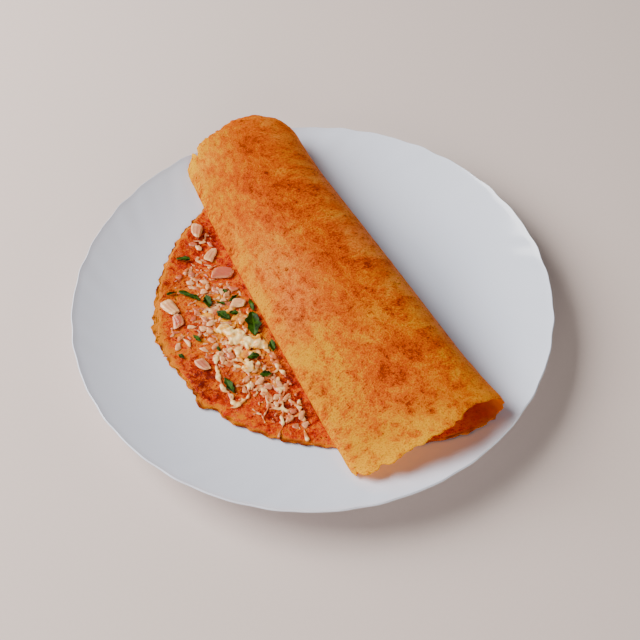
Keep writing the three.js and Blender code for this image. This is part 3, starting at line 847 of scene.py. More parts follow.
@dataclass
class Plate:
    """The plate: a profile spun round the middle, then fluted towards its scalloped edge."""

    form: PlateForm = PlateForm()
    finish: Finish = OpalGlass()
    turns: int = 576
    lip: float = 0.9
    lip_steps: int = 6
    lip_turn: float = 70.0
    # Radii of the rings on the well, where those of the rim start and end, and the steps between them
    well_rings: tuple = (0.0, 26.0, 52.0, 70.0, 76.0)
    rim_start: float = 79.0
    rim_step: float = 1.8
    under_end: float = 80.0
    under_step: float = 4.0
    under_middle: float = 40.0
    sharp_angle: float = 60.0

    def profile(self) -> list[tuple[float, float]]:
        """Draws the half section of the plate.

        Returns:
            Radius and height of each corner, from the middle above to the middle below.
        """
        form = self.form
        outer = form.edge_radius
        rim = np.arange(self.rim_start, outer - self.lip - 0.5, self.rim_step)
        above = [(r, float(form.top(r))) for r in (*self.well_rings, *rim)]
        middle = (outer - self.lip, form.edge_height - self.lip)
        turns = [math.radians(mix(self.lip_turn, -self.lip_turn, k / self.lip_steps))
                 for k in range(self.lip_steps + 1)]
        lip = [(middle[0] + self.lip * math.cos(a), middle[1] + self.lip * math.sin(a)) for a in turns]
        under = np.arange(outer - 5.0, self.under_end, -self.under_step)
        below = [(r, float(form.top(r)) - form.wall * float(smoothstep(outer - r, -1.0, 9.0))) for r in under]
        # The foot ring: half its width, and how far its corners are set out or in
        half = form.foot_width / 2
        foot = [(form.foot_radius + half + 1.0, form.foot_height), (form.foot_radius + half, 0.5),
                (form.foot_radius + half - 0.6, 0.0), (form.foot_radius - half + 0.6, 0.0),
                (form.foot_radius - half, 0.5), (form.foot_radius - half - 1.0, form.foot_height)]
        return above + lip + below + foot + [(self.under_middle, form.foot_height), (0.0, form.foot_height)]

    def build(self) -> Piece:
        """Spins and flutes the plate.

        Returns:
            The finished piece.
        """
        piece = new_piece("opal_plate", bpy.ops.mesh.primitive_circle_add, vertices=3, radius=MM)
        bpy.ops.object.mode_set(mode="EDIT")
        bpy.ops.mesh.select_all(action="SELECT")
        bpy.ops.mesh.merge(type="CENTER")
        place = (0.0, 0.0)
        for radius, height in self.profile():
            step = ((radius - place[0]) * MM, 0.0, (height - place[1]) * MM)
            if place == (0.0, 0.0):
                bpy.ops.transform.translate(value=step)
            else:
                bpy.ops.mesh.extrude_region_move(TRANSFORM_OT_translate={"value": step})
            place = (radius, height)
        bpy.ops.mesh.select_all(action="SELECT")
        bpy.ops.mesh.spin(steps=self.turns, angle=2 * math.pi, center=(0, 0, 0), axis=(0, 0, 1))
        bpy.ops.mesh.select_all(action="SELECT")
        bpy.ops.mesh.remove_doubles(threshold=0.005 * MM)
        bpy.ops.mesh.normals_make_consistent(inside=False)
        bpy.ops.object.mode_set(mode="OBJECT")
        set_points(piece, self.form.fluted(points_of(piece)))
        return dress(piece, "plate_glaze", "plate", material=self.finish.material(), angle=self.sharp_angle)


@dataclass
class DosaSheet:
    """The rolled sheet, with its browned crust outside and its red face inside."""

    form: SheetForm = SheetForm()
    crust: Finish = GriddledCrust()
    face: Finish = KaramFace()
    rows: tuple = (("lie", 74), ("lift", 16), ("side", 22), ("top", 78), ("turn", 20), ("flap", 22))
    columns: int = 164
    tip_angle: float = 0.05
    crowd: float = 1.2
    edge_thickness: float = 0.6
    ragged_reach: float = 6.0
    edge_reach: float = 3.5
    # Sizes of the lumps of the red face and of the blisters of the crust
    lumps: float = 0.28
    blisters: float = 0.16
    fine_blisters: float = 0.06
    # Patches of the sheet laid out flat, as (along, across, reach along, reach across, amount)
    # Less browning in a band at 160 mm along: painted light on the roll's shaded side
    toast: tuple = (
        (160, 0, 10, 150, -0.5), (172, 50, 8, 90, 0.1), (254, 4, 8, 18, -0.28), (230, 95, 16, 14, -0.12),
        (252, 62, 6, 16, 0.5), (250, -52, 8, 15, 0.42), (163, 18, 5, 13, 0.3), (172, -80, 8, 16, -0.2),
        (176, -104, 9, 8, -0.14), (232, -97, 12, 8, -0.12), (164, 60, 6, 12, 0.16),
        (216, 86, 12, 16, -0.14), (205, 14, 8, 8, 0.2), (222, -103, 36, 6, 0.14), (185, 8, 16, 16, 0.22),
        (200, 70, 22, 26, 0.16), (178, 62, 16, 12, 0.1), (200, 46, 14, 8, 0.1), (198, -26, 20, 9, 0.2),
        (190, -68, 30, 14, 0.22), (210, -46, 14, 8, -0.16), (236, -52, 16, 30, -0.2),
        (249, 108, 10, 14, -0.16), (205, -96, 26, 6, 0.12), (239, -7, 12, 16, 0.34),
        (240, 70, 22, 30, -0.05), (236, 35, 24, 26, -0.22), (236, -32, 20, 11, -0.34),
        (214, 20, 18, 26, -0.16), (178, 110, 14, 16, 0.22), (214, -84, 9, 24, 0.12),
        (226, 0, 26, 120, 0.04), (204, -88, 10, 6, 0.08), (240, -112, 42, 16, -0.5),
        (232, 124, 40, 14, -0.4), (256, 0, 12, 130, -0.25), (238, -80, 14, 24, -0.1))
    # Painted sheen at 228 and 236 mm along, painted light on the shaded side at 159 mm, paler batter
    # elsewhere
    pale: tuple = (
        (228, 22, 24, 28, 0.5), (236, -10, 24, 16, 0.3), (244, 62, 8, 8, 0.2), (159, 0, 11, 150, 1.0),
        (238, 112, 20, 10, 0.2), (252, -95, 6, 16, 0.2))
    yellow: tuple = (
        (236, -114, 50, 17, 1.0), (244, 124, 26, 12, 1.0), (254, -70, 10, 60, 0.45), (250, 60, 9, 70, 0.3),
        (238, -50, 12, 34, 0.35), (190, -38, 14, 12, 0.3))
    paste: tuple = (
        (44, -54, 11, 10, 0.5), (54, -34, 10, 12, 0.4), (58, -62, 6, 8, 0.35), (13, -18, 9, 15, 0.6),
        (28, -33, 8, 6, 0.3), (52, 76, 12, 8, 0.4), (18, 50, 7, 8, 0.25), (24, 18, 6, 10, 0.3),
        (36, -12, 10, 8, 0.3), (34, 62, 16, 10, 0.1), (12, -38, 8, 7, -0.2), (22, -52, 10, 6, -0.2),
        (32, -66, 16, 5, -0.2), (16, 66, 10, 14, -0.15), (15, -2, 12, 30, -0.12), (6, 12, 5, 20, -0.15),
        (132, -108, 20, 10, -0.3), (150, -100, 12, 14, 0.3), (190, -80, 80, 40, 0.3))
    # Ghee pools by the cheese and along the left edge
    amber: tuple = (
        (35, 10, 9, 8, 1.0), (46, 9, 8, 6, 0.9), (56, -6, 6, 8, 0.8), (42, 27, 14, 8, 0.6),
        (28, 44, 14, 12, 0.4), (40, -24, 16, 8, 0.5), (22, 2, 12, 7, 0.4))

    def lay_rows(self) -> Array:
        """Spreads the rows of the grid, closer at the tip and in the folds.

        Returns:
            The distance of each row along the sheet.
        """
        form = self.form
        end_angle = math.acos(1 - form.lie / form.oval_length)
        runs = []
        reached = 0.0
        for name, count in self.rows:
            share = np.arange(count) / count
            if name == "lie":
                angle = self.tip_angle + (end_angle - self.tip_angle) * share
                runs.append(form.oval_length * (1 - np.cos(angle)))
            else:
                runs.append(reached + (getattr(form, name) - reached) * share)
            reached = getattr(form, name)
        return np.concatenate(runs + [[reached]])

    def centre_points(self, along: Array, across: Array) -> tuple[Array, ...]:
        """Places the middle of the sheet with its ragged edge.

        Args:
            along: Distances along the sheet.
            across: Fractions across it, from -1 near to 1 far.

        Returns:
            The points, their distance from the edge, and y laid out flat.
        """
        form = self.form
        smooth_y = mix(form.edge_y(along, -1), form.edge_y(along, 1), (across + 1) / 2)
        length = np.maximum(form.oval_length - along, 0.0) / form.oval_length
        rho = np.sqrt(length**2 + across**2 * (1 - length**2))
        lies = along < form.lie
        inside = np.where(lies, (1 - rho) * form.half, (1 - np.abs(across)) * form.half_width(along))
        inside = np.minimum(inside, form.flap - along)
        out_x = np.where(lies, -length / form.oval_length, 0.0)
        out_y = np.where(lies, (smooth_y - form.middle_y) / form.half**2, np.sign(across))
        size = np.maximum(np.hypot(out_x, out_y), 1e-6)
        weight = np.clip(1 - inside / self.ragged_reach, 0.0, 1.0) ** 1.6
        laid = np.column_stack([along, smooth_y])
        crisp = np.where(lies, 0.75 * cloud(laid, 2.4, 2), 0.7 * cloud(laid, 3.4, 2))
        out = weight * (form.raggedness(along, smooth_y, np.sign(across)) + crisp)
        y = smooth_y + out * out_y / size
        x, z = form.section(along, y)
        x = x + out * out_x / size
        z = np.where(lies, form.lying_height(x, y), z)
        return np.column_stack([x, y, z]), inside, y

    def build(self) -> Piece:
        """Models the sheet from a grid and gives it its thickness, relief and finishes.

        Returns:
            The finished piece.
        """
        rows = self.lay_rows()
        piece = new_piece("dosa_sheet", bpy.ops.mesh.primitive_grid_add, x_subdivisions=len(rows) - 1,
                          y_subdivisions=self.columns, size=2)
        flat = points_of(piece) * MM
        along = rows[np.rint((flat[:, 0] + 1) / 2 * (len(rows) - 1)).astype(int)]
        across = np.sign(flat[:, 1]) * (1 - (1 - np.abs(flat[:, 1])) ** self.crowd)
        centre, inside, laid_y = self.centre_points(along, across)
        set_points(piece, centre)
        normals = np.empty(len(centre) * 3, dtype=np.float32)
        piece.data.vertex_normals.foreach_get("vector", normals)
        normals = normals.reshape(-1, 3).astype(float)
        self.lay_map(piece, along, laid_y)
        self.store_patches(piece, along, laid_y, inside)
        piece.data.materials.append(self.face.material())
        piece.data.materials.append(self.crust.material())
        apply_modifier(piece, "SOLIDIFY", thickness=self.form.thickness * MM, offset=0.0,
                       material_offset=1, material_offset_rim=1)
        half = mix(self.edge_thickness, self.form.thickness, smoothstep(inside, 0.0, self.edge_reach)) / 2
        spread = np.column_stack([along, laid_y])
        lumps = self.lumps * cloud(spread, 4.5) * smoothstep(inside, 1.0, 6.0)
        blisters = self.blisters * cloud(spread, 7.0, seed=200.0) + self.fine_blisters * cloud(spread, 2.5, 2)
        side = normals * (half + np.clip(lumps, -0.3, 0.35))[:, None]
        under = normals * (half + np.clip(blisters, -0.2, 0.2))[:, None]
        set_points(piece, np.concatenate([centre + side, centre - under]))
        return dress(piece, "dosa_crust", "dosa")

    @staticmethod
    def lay_map(piece: Piece, along: Array, laid_y: Array) -> None:
        """Gives the piece a UV map of the sheet laid out flat, in metres.

        Args:
            piece: The sheet.
            along: Distances along the sheet.
            laid_y: Places across it.
        """
        corners = np.empty(len(piece.data.loops), dtype=np.int32)
        piece.data.loops.foreach_get("vertex_index", corners)
        layout = np.column_stack([along, laid_y])[corners] * MM
        piece.data.uv_layers.active.data.foreach_set("uv", layout.astype(np.float32).ravel())

    def store_patches(self, piece: Piece, along: Array, laid_y: Array,
                      inside: Array) -> None:
        """Stores the fields that the two finishes read.

        Args:
            piece: The sheet before it has a thickness.
            along: Distances along the sheet.
            laid_y: Places across it.
            inside: Distances from its edge.
        """
        places = np.column_stack([along, laid_y])
        bent = places + 5.0 * np.column_stack([cloud(places, 18.0), cloud(places, 18.0, seed=90.0)])
        # pale carries painted sheen and painted light besides paler batter
        fields = {"toast": (0.5, self.toast), "pale": (0.0, self.pale), "yellow": (0.0, self.yellow),
                  "paste": (0.42, self.paste), "amber": (0.0, self.amber)}
        for name, (base, patches) in fields.items():
            total = base + cover(patches, bent[:, 0], bent[:, 1])
            if name == "toast":
                total = total + 0.16 * cloud(places, 15.0, seed=60.0)
            set_number(piece, name, total)
        ragged = inside + 1.3 * cloud(places, 4.5) + 8.0 * smoothstep(along, self.form.lie, self.form.side)
        ragged = ragged - 1.2 * smoothstep(laid_y, -35.0, 35.0) - bump(laid_y - 20.0, 1.0, 30.0)
        set_number(piece, "bare", 1 - smoothstep(ragged, -0.4, 2.4))
        # The rolled part lets light through, most of all where the batter ran thin at its near end
        rolled = smoothstep(along, self.form.lie - 20, self.form.lift)
        near_end = smoothstep(-laid_y, 80.0, 108.0)
        set_number(piece, "thin", mix(0.03, 0.44 + 0.1 * near_end, rolled))
        burnt = (1 - smoothstep(inside, 0.3, 2.2)) * smoothstep(cloud(places, 5.0, seed=140.0), -0.1, 0.25)
        set_number(piece, "crisp", burnt * np.where(along < self.form.lie, 0.9, 0.12))


@dataclass(frozen=True)
class Topping:
    """A larger topping: its middle on the open face, its size and its turn in degrees."""

    at: tuple[float, float]
    size: tuple[float, float, float]
    turn: float
    tone: float = 0.5


@dataclass
class OpenFace:
    """The open face that carries the toppings, and where it ends."""

    form: SheetForm
    right_x: float = -32.5
    margin: float = 7.0

    def set_down(self, points: Array, at: tuple[float, float], turn: float, sunk: float) -> Array:
        """Turns a shape and sets it down on the open face.

        Args:
            points: The shape about its own middle.
            at: Its place on the face.
            turn: Its turn about the vertical, in degrees.
            sunk: How deep it sits in the paste, or less than 0 for a gap.

        Returns:
            The placed points.
        """
        angle = math.radians(turn)
        spin = np.array([[math.cos(angle), -math.sin(angle)], [math.sin(angle), math.cos(angle)]])
        placed = points.copy()
        placed[:, :2] = points[:, :2] @ spin.T + np.array(at)
        needed = self.form.open_face(placed[:, 0], placed[:, 1]) - placed[:, 2]
        placed[:, 2] += np.max(needed) - sunk
        return placed


@dataclass
class OnionPetals:
    """The larger pieces of onion: curved petals cut across, each in place of its solid."""

    face: OpenFace
    finish: Finish = RAW_ONION
    petals: tuple = (
        Topping((-36.2, 46.8), (12.6, 7.6, 3.2), -28, 1.0), Topping((-73.4, 36.2), (7, 11, 3), 12, 0.1),
        Topping((-73, 25.6), (6.4, 9.4, 2.6), -8, 0.75), Topping((-38.6, 82.5), (6.4, 10.4, 2.8), -28, 0.3),
        Topping((-37.4, 62.8), (10, 5.8, 2.8), 42, 0.2), Topping((-71.2, -8.6), (5.6, 9, 2.8), 14, 0.6),
        Topping((-37, 22.2), (8.4, 6, 3), -20, 0.05))
    gap: float = 0.3

    def petal(self, number: int, topping: Topping, material: bpy.types.Material) -> Piece:
        """Models a petal: a thin bowed layer with soft uneven sides and fine ribs.

        Args:
            number: The number of its solid.
            topping: Its place, size, turn and tone.
            material: Its finish.

        Returns:
            The finished petal.
        """
        piece, unit = soft_block(f"onion_petal_{number}", 3, 0.48, 2)
        size = np.array(topping.size)
        long_side = int(size[1] > size[0])
        run, cross, up = unit[:, long_side], unit[:, 1 - long_side], unit[:, 2]
        lean = 1 if number % 2 else -1
        uneven = 0.2 * cloud(unit, 1.1, 2, seed=7.0 * number)
        ribs = 0.05 * np.cos(cross * 10 + 1.2 * run) * smoothstep(up, 0.0, 0.5)
        bowed = 0.3 * (1 - cross**2) + 0.12 * lean * cross
        shape = np.empty_like(unit)
        shape[:, long_side] = run * (1 + uneven) + 0.16 * lean * cross
        shape[:, 1 - long_side] = cross * (1 + uneven) * (1 - 0.2 * lean * run) - 0.2 * lean * (run**2 - 0.4)
        shape[:, 2] = 0.5 * up + bowed + ribs + 0.5 * uneven
        set_points(piece, self.face.set_down(shape * size / 2, topping.at, topping.turn, -self.gap))
        # Whiter all round the rim: a painted highlight along the cut edges
        rim = smoothstep(np.maximum(np.abs(cross), np.abs(run)), 0.45, 0.95)
        set_number(piece, "tone", topping.tone + 0.3 - 0.6 * rim)
        set_number(piece, "stain", 0.45 - 0.6 * up + 0.9 * cloud(unit, 1.0, seed=30.0 * number))
        return dress(piece, "onion", f"onion_piece_{number}", material=material)

    def build(self) -> list[Piece]:
        """Models every petal and returns them."""
        material = self.finish.material()
        return [self.petal(k + 1, topping, material) for k, topping in enumerate(self.petals)]


@dataclass
class ChoppedOnion:
    """The small chopped onion, scattered by the same seeded rule as on the solid, and finer crumbs."""

    face: OpenFace
    blocked: tuple
    finish: Finish = RAW_ONION
    # Round patches of small pieces, as the middle, the spread and how many
    patches: tuple = (
        (-37, 77, 8, 4), (-55, 56, 8, 4), (-48, 41, 7, 6), (-39, 31, 7, 4), (-60, 19, 8, 7),
        (-59, -2, 9, 8), (-77, 12, 8, 3), (-53, -29, 7, 4), (-42, -45, 8, 6), (-37, -61, 7, 5))
    length: tuple[float, float] = (3.4, 6.4)
    width: tuple[float, float] = (2.4, 3.8)
    height: tuple[float, float] = (1.8, 2.8)
    seed: int = 20
    attempts: int = 90
    clear: float = 0.6
    crumbs: tuple = (
        (-52, 26, 9, 80), (-42, 22, 8, 60), (-59, 12, 8, 44), (-56, -6, 9, 44), (-47, -18, 9, 18),
        (-42, -34, 9, 10), (-46, 56, 11, 34), (-38, 76, 8, 18), (-76, 14, 9, 12), (-55, 44, 10, 30),
        (-38, 34, 8, 26))
    crumb_length: tuple[float, float] = (1.5, 5.4)
    crumb_overlap: float = 1.4
    crumb_seed: int = 5
    crumb_voxel: float = 0.36

    @staticmethod
    def random_source(seed: int) -> Callable[[], float]:
        """Makes the solid's own source of repeatable numbers.

        Args:
            seed: Where it starts.

        Returns:
            A function that gives the next number, from 0 to 1.
        """
        word = 0xFFFFFFFF
        state = seed & word

        def draw() -> float:
            """Returns the next number."""
            nonlocal state
            state = (state + 0x6D2B79F5) & word
            bits = ((state ^ (state >> 15)) * (state | 1)) & word
            bits ^= (bits + ((bits ^ (bits >> 7)) * (bits | 61) & word)) & word
            return ((bits ^ (bits >> 14)) & word) / 2**32

        return draw

    def is_free(self, x: float, y: float, reach: float, share: float = 1.0) -> bool:
        """Tells whether a place is inside the outline and clear of the larger toppings.

        Args:
            x: The place across the dosa.
            y: The place along it.
            reach: How far a piece there reaches.
            share: The share of each topping's radius that is kept clear.

        Returns:
            True where a piece fits.
        """
        form = self.face.form
        along = x - form.tip_x
        if along < self.face.margin or x > self.face.right_x - reach:
            return False
        if abs(y - form.middle_y) > form.half_width(along - self.face.margin) - self.face.margin:
            return False
        return all(math.hypot(x - at[0], y - at[1]) > share * radius + reach + self.clear
                   for at, radius in self.blocked)

    def places(self) -> list[dict]:
        """Draws the pieces in the solid's own order.

        Returns:
            The place, size and turn of each.
        """
        draw = self.random_source(self.seed)
        pieces: list[dict] = []
        for at_x, at_y, spread, count in self.patches:
            placed = 0
            attempt = 0
            while attempt < self.attempts and placed < count:
                attempt += 1
                away = spread * math.sqrt(draw())
                bearing = 2 * math.pi * draw()
                x = at_x + away * math.cos(bearing)
                y = at_y + away * math.sin(bearing)
                size = [mix(low, high, draw()) for low, high in (self.length, self.width, self.height)]
                turn = math.pi * draw()
                apart = all(math.hypot(p["x"] - x, p["y"] - y) > (p["size"][0] + size[0]) / 2 for p in pieces)
                if apart and self.is_free(x, y, size[0] / 2):
                    pieces.append({"x": x, "y": y, "size": size, "turn": math.degrees(turn)})
                    placed += 1
        return pieces

    def crumb_places(self) -> list[dict]:
        """Draws the finest crumbs, thickest in the middle of each patch.

        Returns:
            The place, size and turn of each.
        """
        draw = random.Random(self.crumb_seed)
        found = []
        for at_x, at_y, spread, count in self.crumbs:
            for _ in range(count):
                x = draw.gauss(at_x, spread * 0.55)
                y = draw.gauss(at_y, spread * 0.55)
                long = mix(*self.crumb_length, draw.random() ** 2)
                size = [long, draw.uniform(0.7, 1.1) * long**0.5, draw.uniform(0.45, 1.0)]
                if self.is_free(x, y, long / 2 - self.crumb_overlap, 0.6):
                    found.append({"x": x, "y": y, "size": size, "turn": draw.uniform(0, 180)})
        return found

    def chop(self, name: str, cuts: int, levels: int, pieces: list[dict], sunk: float, stain: float) -> Piece:
        """Models one soft block and joins a differently cut copy of it at each place.

        Args:
            name: Name of the joined piece.
            cuts: Cuts across each side of the block.
            levels: Levels of smoothing.
            pieces: Places, sizes and turns.
            sunk: How deep the copies sit in the paste.
            stain: How much the red oil has stained them, from 0 to 1.

        Returns:
            The joined piece without a finish.
        """
        template, unit = soft_block(name + "_block", cuts, 0.4, levels)
        x, y, z = unit.T
        draw = random.Random(self.crumb_seed)
        placed, tones, stains = [], [], []
        for k, piece in enumerate(pieces):
            taper, wedge, bend, skew, bow = (draw.uniform(-1, 1) for _ in range(5))
            uneven = 0.3 * cloud(unit, 1.1, 2, seed=11.0 * k)
            shape = np.column_stack([x + 0.5 * skew * y, y * (1 + 0.5 * taper * x) + 0.3 * bend * x**2,
                                     z * (0.8 + 0.35 * wedge * x) - 0.3 * abs(bow) * y**2])
            shape = shape * (1 + uneven)[:, None] * np.array(piece["size"]) / 2
            placed.append(self.face.set_down(shape, (piece["x"], piece["y"]), piece["turn"], sunk))
            # Whiter all round the rim: a painted highlight along the cut edges
            rim = smoothstep(np.maximum(np.abs(x), np.abs(y)), 0.4, 1.0)
            tones.append(draw.random() ** 2 + 0.15 - 0.35 * rim)
            stains.append(stain - 0.6 * z + 1.5 * (draw.random() - 0.5))
        joined = join_copies(name, template, placed)
        set_number(joined, "tone", np.concatenate(tones))
        set_number(joined, "stain", np.concatenate(stains))
        return joined

    def soften(self, piece: Piece) -> Piece:
        """Fries the crumbs into soft shapes that hang together, stained where they are low.

        Args:
            piece: The crumbs.

        Returns:
            The same piece, melted.
        """
        melt(piece, self.crumb_voxel, 4)
        points = points_of(piece)
        rise = points[:, 2] - self.face.form.open_face(points[:, 0], points[:, 1])
        set_number(piece, "tone", 0.45 + 1.3 * cloud(points, 4.0, seed=80.0))
        set_number(piece, "stain", 1.1 - rise + 0.9 * cloud(points, 5.0, seed=20.0))
        return piece

    def build(self) -> list[Piece]:
        """Models the chopped pieces and the crumbs between them.

        Returns:
            Both finished pieces.
        """
        material = self.finish.material()
        chopped = self.chop("chopped_onion", 2, 1, self.places(), 0.9, 0.95)
        crumbs = self.soften(self.chop("onion_crumbs", 1, 0, self.crumb_places(), 0.3, 1.05))
        return [dress(piece, "onion", material=material) for piece in (chopped, crumbs)]


@dataclass(frozen=True)
class Strand:
    """A strand of melted cheese: its start, heading, turn in degrees, length and half width."""

    start: tuple[float, float]
    heading: float
    turn: float
    length: float
    radius: float = 0.8


@dataclass
class CheeseToppings:
    """The melted cheese: a lump with a crumb beside it, and the strands that run over the face."""

    face: OpenFace
    finish: Finish = MELTED_CHEESE
    # The balls that the lump and the crumb melt from, as place, radius and height
    lumps: tuple = (((-51.6, 9.6), 4.8, 4.4), ((-48, 2.4), 5.6, 5.2), ((-43.6, -4.4), 5.2, 5.0),
                    ((-38.4, -8.4), 5.4, 4.8))
    crumb: tuple = (((-49.2, -21.2), 4.6, 4.6),)
    strands: tuple = (
        Strand((-63.5, -6), -108, 34, 36, 1.25), Strand((-68, -41), -10, 105, 24),
        Strand((-54, -36), 15, -70, 16), Strand((-41, -37), -60, 80, 14), Strand((-47, -38), -95, -40, 18),
        Strand((-40, -40), -92, -45, 32), Strand((-37, -50), -80, -30, 28),
        Strand((-61, -12), -30, -50, 20, 0.8), Strand((-56, -4), -85, 40, 18, 0.8),
        Strand((-50, -4), -110, 60, 18, 0.9), Strand((-43, -10), -80, -50, 16, 0.9),
        Strand((-35, -13), -95, 20, 20, 0.8), Strand((-60, -30), -5, -30, 18, 0.7),
        Strand((-52, -24), -50, 60, 18, 0.7), Strand((-49, -50), -20, -60, 14, 0.7),
        Strand((-43, -62), 10, 40, 10, 0.6), Strand((-57, -46), -60, -40, 12, 0.6))
    # Where thin lace of cheese hangs between the strands, and where yellow fat pools on the cheese
    lace: tuple = (
        (-41, -44, 12, 22, 1.75), (-57, -12, 8, 12, 1.3), (-46, -12, 9, 8, 1.3), (-34, -22, 6, 12, 1.3),
        (-58, -38, 10, 8, 0.9), (-52, 20, 10, 8, 2.5), (-40, 16, 8, 8, 2.7), (-42, -2, 9, 8, 2.4),
        (-44, 56, 9, 12, 0.8))
    fat: tuple = (
        (-48, 14, 6, 5, 1.3), (-57, 24, 5, 5, 1.1), (-35, -3, 6, 6, 1.1), (-41, 19, 7, 5, 1.0),
        (-50, -13, 6, 4, 0.7))
    lace_grain: float = 7.0
    lace_step: float = 0.7
    lace_reach: tuple[float, float] = (-80.0, 75.0)
    flatness: float = 0.55
    step: float = 0.55
    voxel: float = 0.26

    def melt_balls(self, name: str, balls: list[tuple], smooth: int) -> Piece:
        """Melts balls into one skin.

        Args:
            name: Name of the piece.
            balls: Place, width and height of each ball, as (x, y, z, half width, half height).
            smooth: Rounds of smoothing.

        Returns:
            The piece without its finish.
        """
        template = new_piece(name + "_ball", bpy.ops.mesh.primitive_ico_sphere_add, subdivisions=2, radius=1)
        unit = points_of(template) * MM
        placed = [unit * np.array([wide, wide, tall]) + np.array([x, y, z]) for x, y, z, wide, tall in balls]
        return melt(join_copies(name, template, placed), self.voxel, smooth)

    def lump(self, name: str, balls: tuple, seed: int) -> Piece:
        """Models a lump from melted balls that flow into each other.

        Args:
            name: Name of the piece.
            balls: Place, radius and height of each ball.
            seed: Seed of the soft curds on it.

        Returns:
            The piece without its finish.
        """
        draw = random.Random(seed)
        chain = [np.array([*at, radius, height]) for at, radius, height in balls]
        chain += [(one + other) / 2 for one, other in zip(chain, chain[1:])]
        curds = []
        for x, y, radius, height in chain:
            floor = float(self.face.form.open_face(x, y)) + 0.4
            curds.append((x, y, floor, radius * 0.72, height * 0.6))
            for _ in range(5):
                away = radius * mix(0.3, 1.0, draw.random())
                bearing = draw.uniform(0, 2 * math.pi)
                size = draw.uniform(0.9, 2.2)
                rise = floor + height * 0.42 * (1 - (away / radius) ** 2)
                curds.append((x + away * math.cos(bearing), y + away * math.sin(bearing), rise, size,
                              size * 0.7))
        piece = self.melt_balls(name, curds, 44)
        points = points_of(piece)
        points[:, :2] += 0.9 * np.column_stack([cloud(points, 4.5, 2, seed=at) for at in (5.0, 45.0)])
        floor = self.face.form.open_face(points[:, 0], points[:, 1]) + 0.3
        points[:, 2] = np.maximum(points[:, 2] + 0.9 * cloud(points, 4.5, 2), floor)
        set_points(piece, points)
        fat = 1.3 - (points[:, 2] - floor) / 3.0 + 1.6 * cloud(points, 5.0, seed=15.0)
        set_number(piece, "stain", fat + 0.7 * cover(self.fat, points[:, 0], points[:, 1]))
        set_number(piece, "tone", 0.1 + 0.3 * cloud(points, 5.0, seed=60.0))
        return piece

    def strand_run(self, strand: Strand, number: int) -> list[tuple]:
        """Lays a strand: an uneven line on the open face with knots and a thick end.

        Args:
            strand: The strand.
            number: Its number, which seeds its swells and sways.

        Returns:
            The balls that it melts from.
        """
        steps = int(strand.length / self.step)
        run = np.arange(steps + 1) / steps
        places = np.column_stack([run * strand.length, np.full(steps + 1, 9.0 * number)])
        swell = 0.95 + 1.2 * cloud(places, 4.0, 2) + bump(run - 1.0, 0.2, 0.06)
        sway = 1.7 * cloud(places, 6.0, 3, seed=50.0)
        x, y = strand.start
        balls = []
        for k in range(steps + 1):
            direction = math.radians(strand.heading + strand.turn * (k + 0.5) / steps)
            side_x, side_y = -math.sin(direction) * sway[k], math.cos(direction) * sway[k]
            wide = max(0.4, strand.radius * swell[k])
            floor = float(self.face.form.open_face(x, y))
            balls.append((x + side_x, y + side_y, floor + 0.15 + 0.2 * wide, wide, wide * self.flatness))
            x = min(self.face.right_x, x + self.step * math.cos(direction))
            y += self.step * math.sin(direction)
        return balls

    def lace_balls(self) -> list[tuple]:
        """Lays small balls along the crests of a cloudy pattern, which make a net with holes.

        Returns:
            The balls that it melts from.
        """
        low, high = self.lace_reach
        steps = np.arange(low, self.face.right_x, self.lace_step)
        x, y = (side.ravel() for side in np.meshgrid(steps, np.arange(low, high, self.lace_step)))
        full = cover(self.lace, x, y)
        places = np.column_stack([x, y])[full > 0.3]
        full = full[full > 0.3]
        bent = places + 1.5 * np.column_stack([cloud(places, 4.0), cloud(places, 4.0, seed=70.0)])
        crest = 1 - 2.6 * np.abs(cloud(bent, self.lace_grain, 2, seed=20.0))
        knots = 0.5 * cloud(places, 3.0, 2, seed=130.0)
        wide = (crest + knots - mix(1.05, 0.76, full)) * 1.7
        keep = wide > 0.3
        floor = self.face.form.open_face(places[:, 0], places[:, 1])
        return [(px, py, z + 0.1, min(w + 0.25, 1.3), min(0.3 + 0.4 * w, 0.8))
                for (px, py), z, w in zip(places[keep], floor[keep], wide[keep])]

    def melt_strands(self) -> Piece:
        """Models the strands and the lace between them, melted into one net.

        Returns:
            The piece without its finish.
        """
        balls = self.lace_balls()
        for number, strand in enumerate(self.strands):
            balls += self.strand_run(strand, number)
        piece = self.melt_balls("cheese_strands", balls, 7)
        points = points_of(piece)
        # The thinner the cheese, the more of the paste shows through it
        thin = 1 - smoothstep(points[:, 2] - self.face.form.open_face(points[:, 0], points[:, 1]), 0.2, 1.1)
        pooled = cover(self.fat, points[:, 0], points[:, 1])
        set_number(piece, "stain", pooled + 0.7 * cloud(points, 5.0) - 0.05)
        set_number(piece, "tone", 0.5 + 0.8 * thin + 1.1 * cloud(points, 4.0, seed=40.0))
        return piece

    def build(self) -> list[Piece]:
        """Models the lump, the crumb and the strands.

        Returns:
            The finished pieces.
        """
        material = self.finish.material()
        lump = self.lump("melted_cheese_lump", self.lumps, 3)
        crumb = self.lump("melted_cheese_crumb", self.crumb, 8)
        return [dress(lump, "cheese", "cheese_lump", material=material),
                dress(crumb, "cheese", "cheese_crumb", material=material),
                dress(self.melt_strands(), "cheese", material=material)]


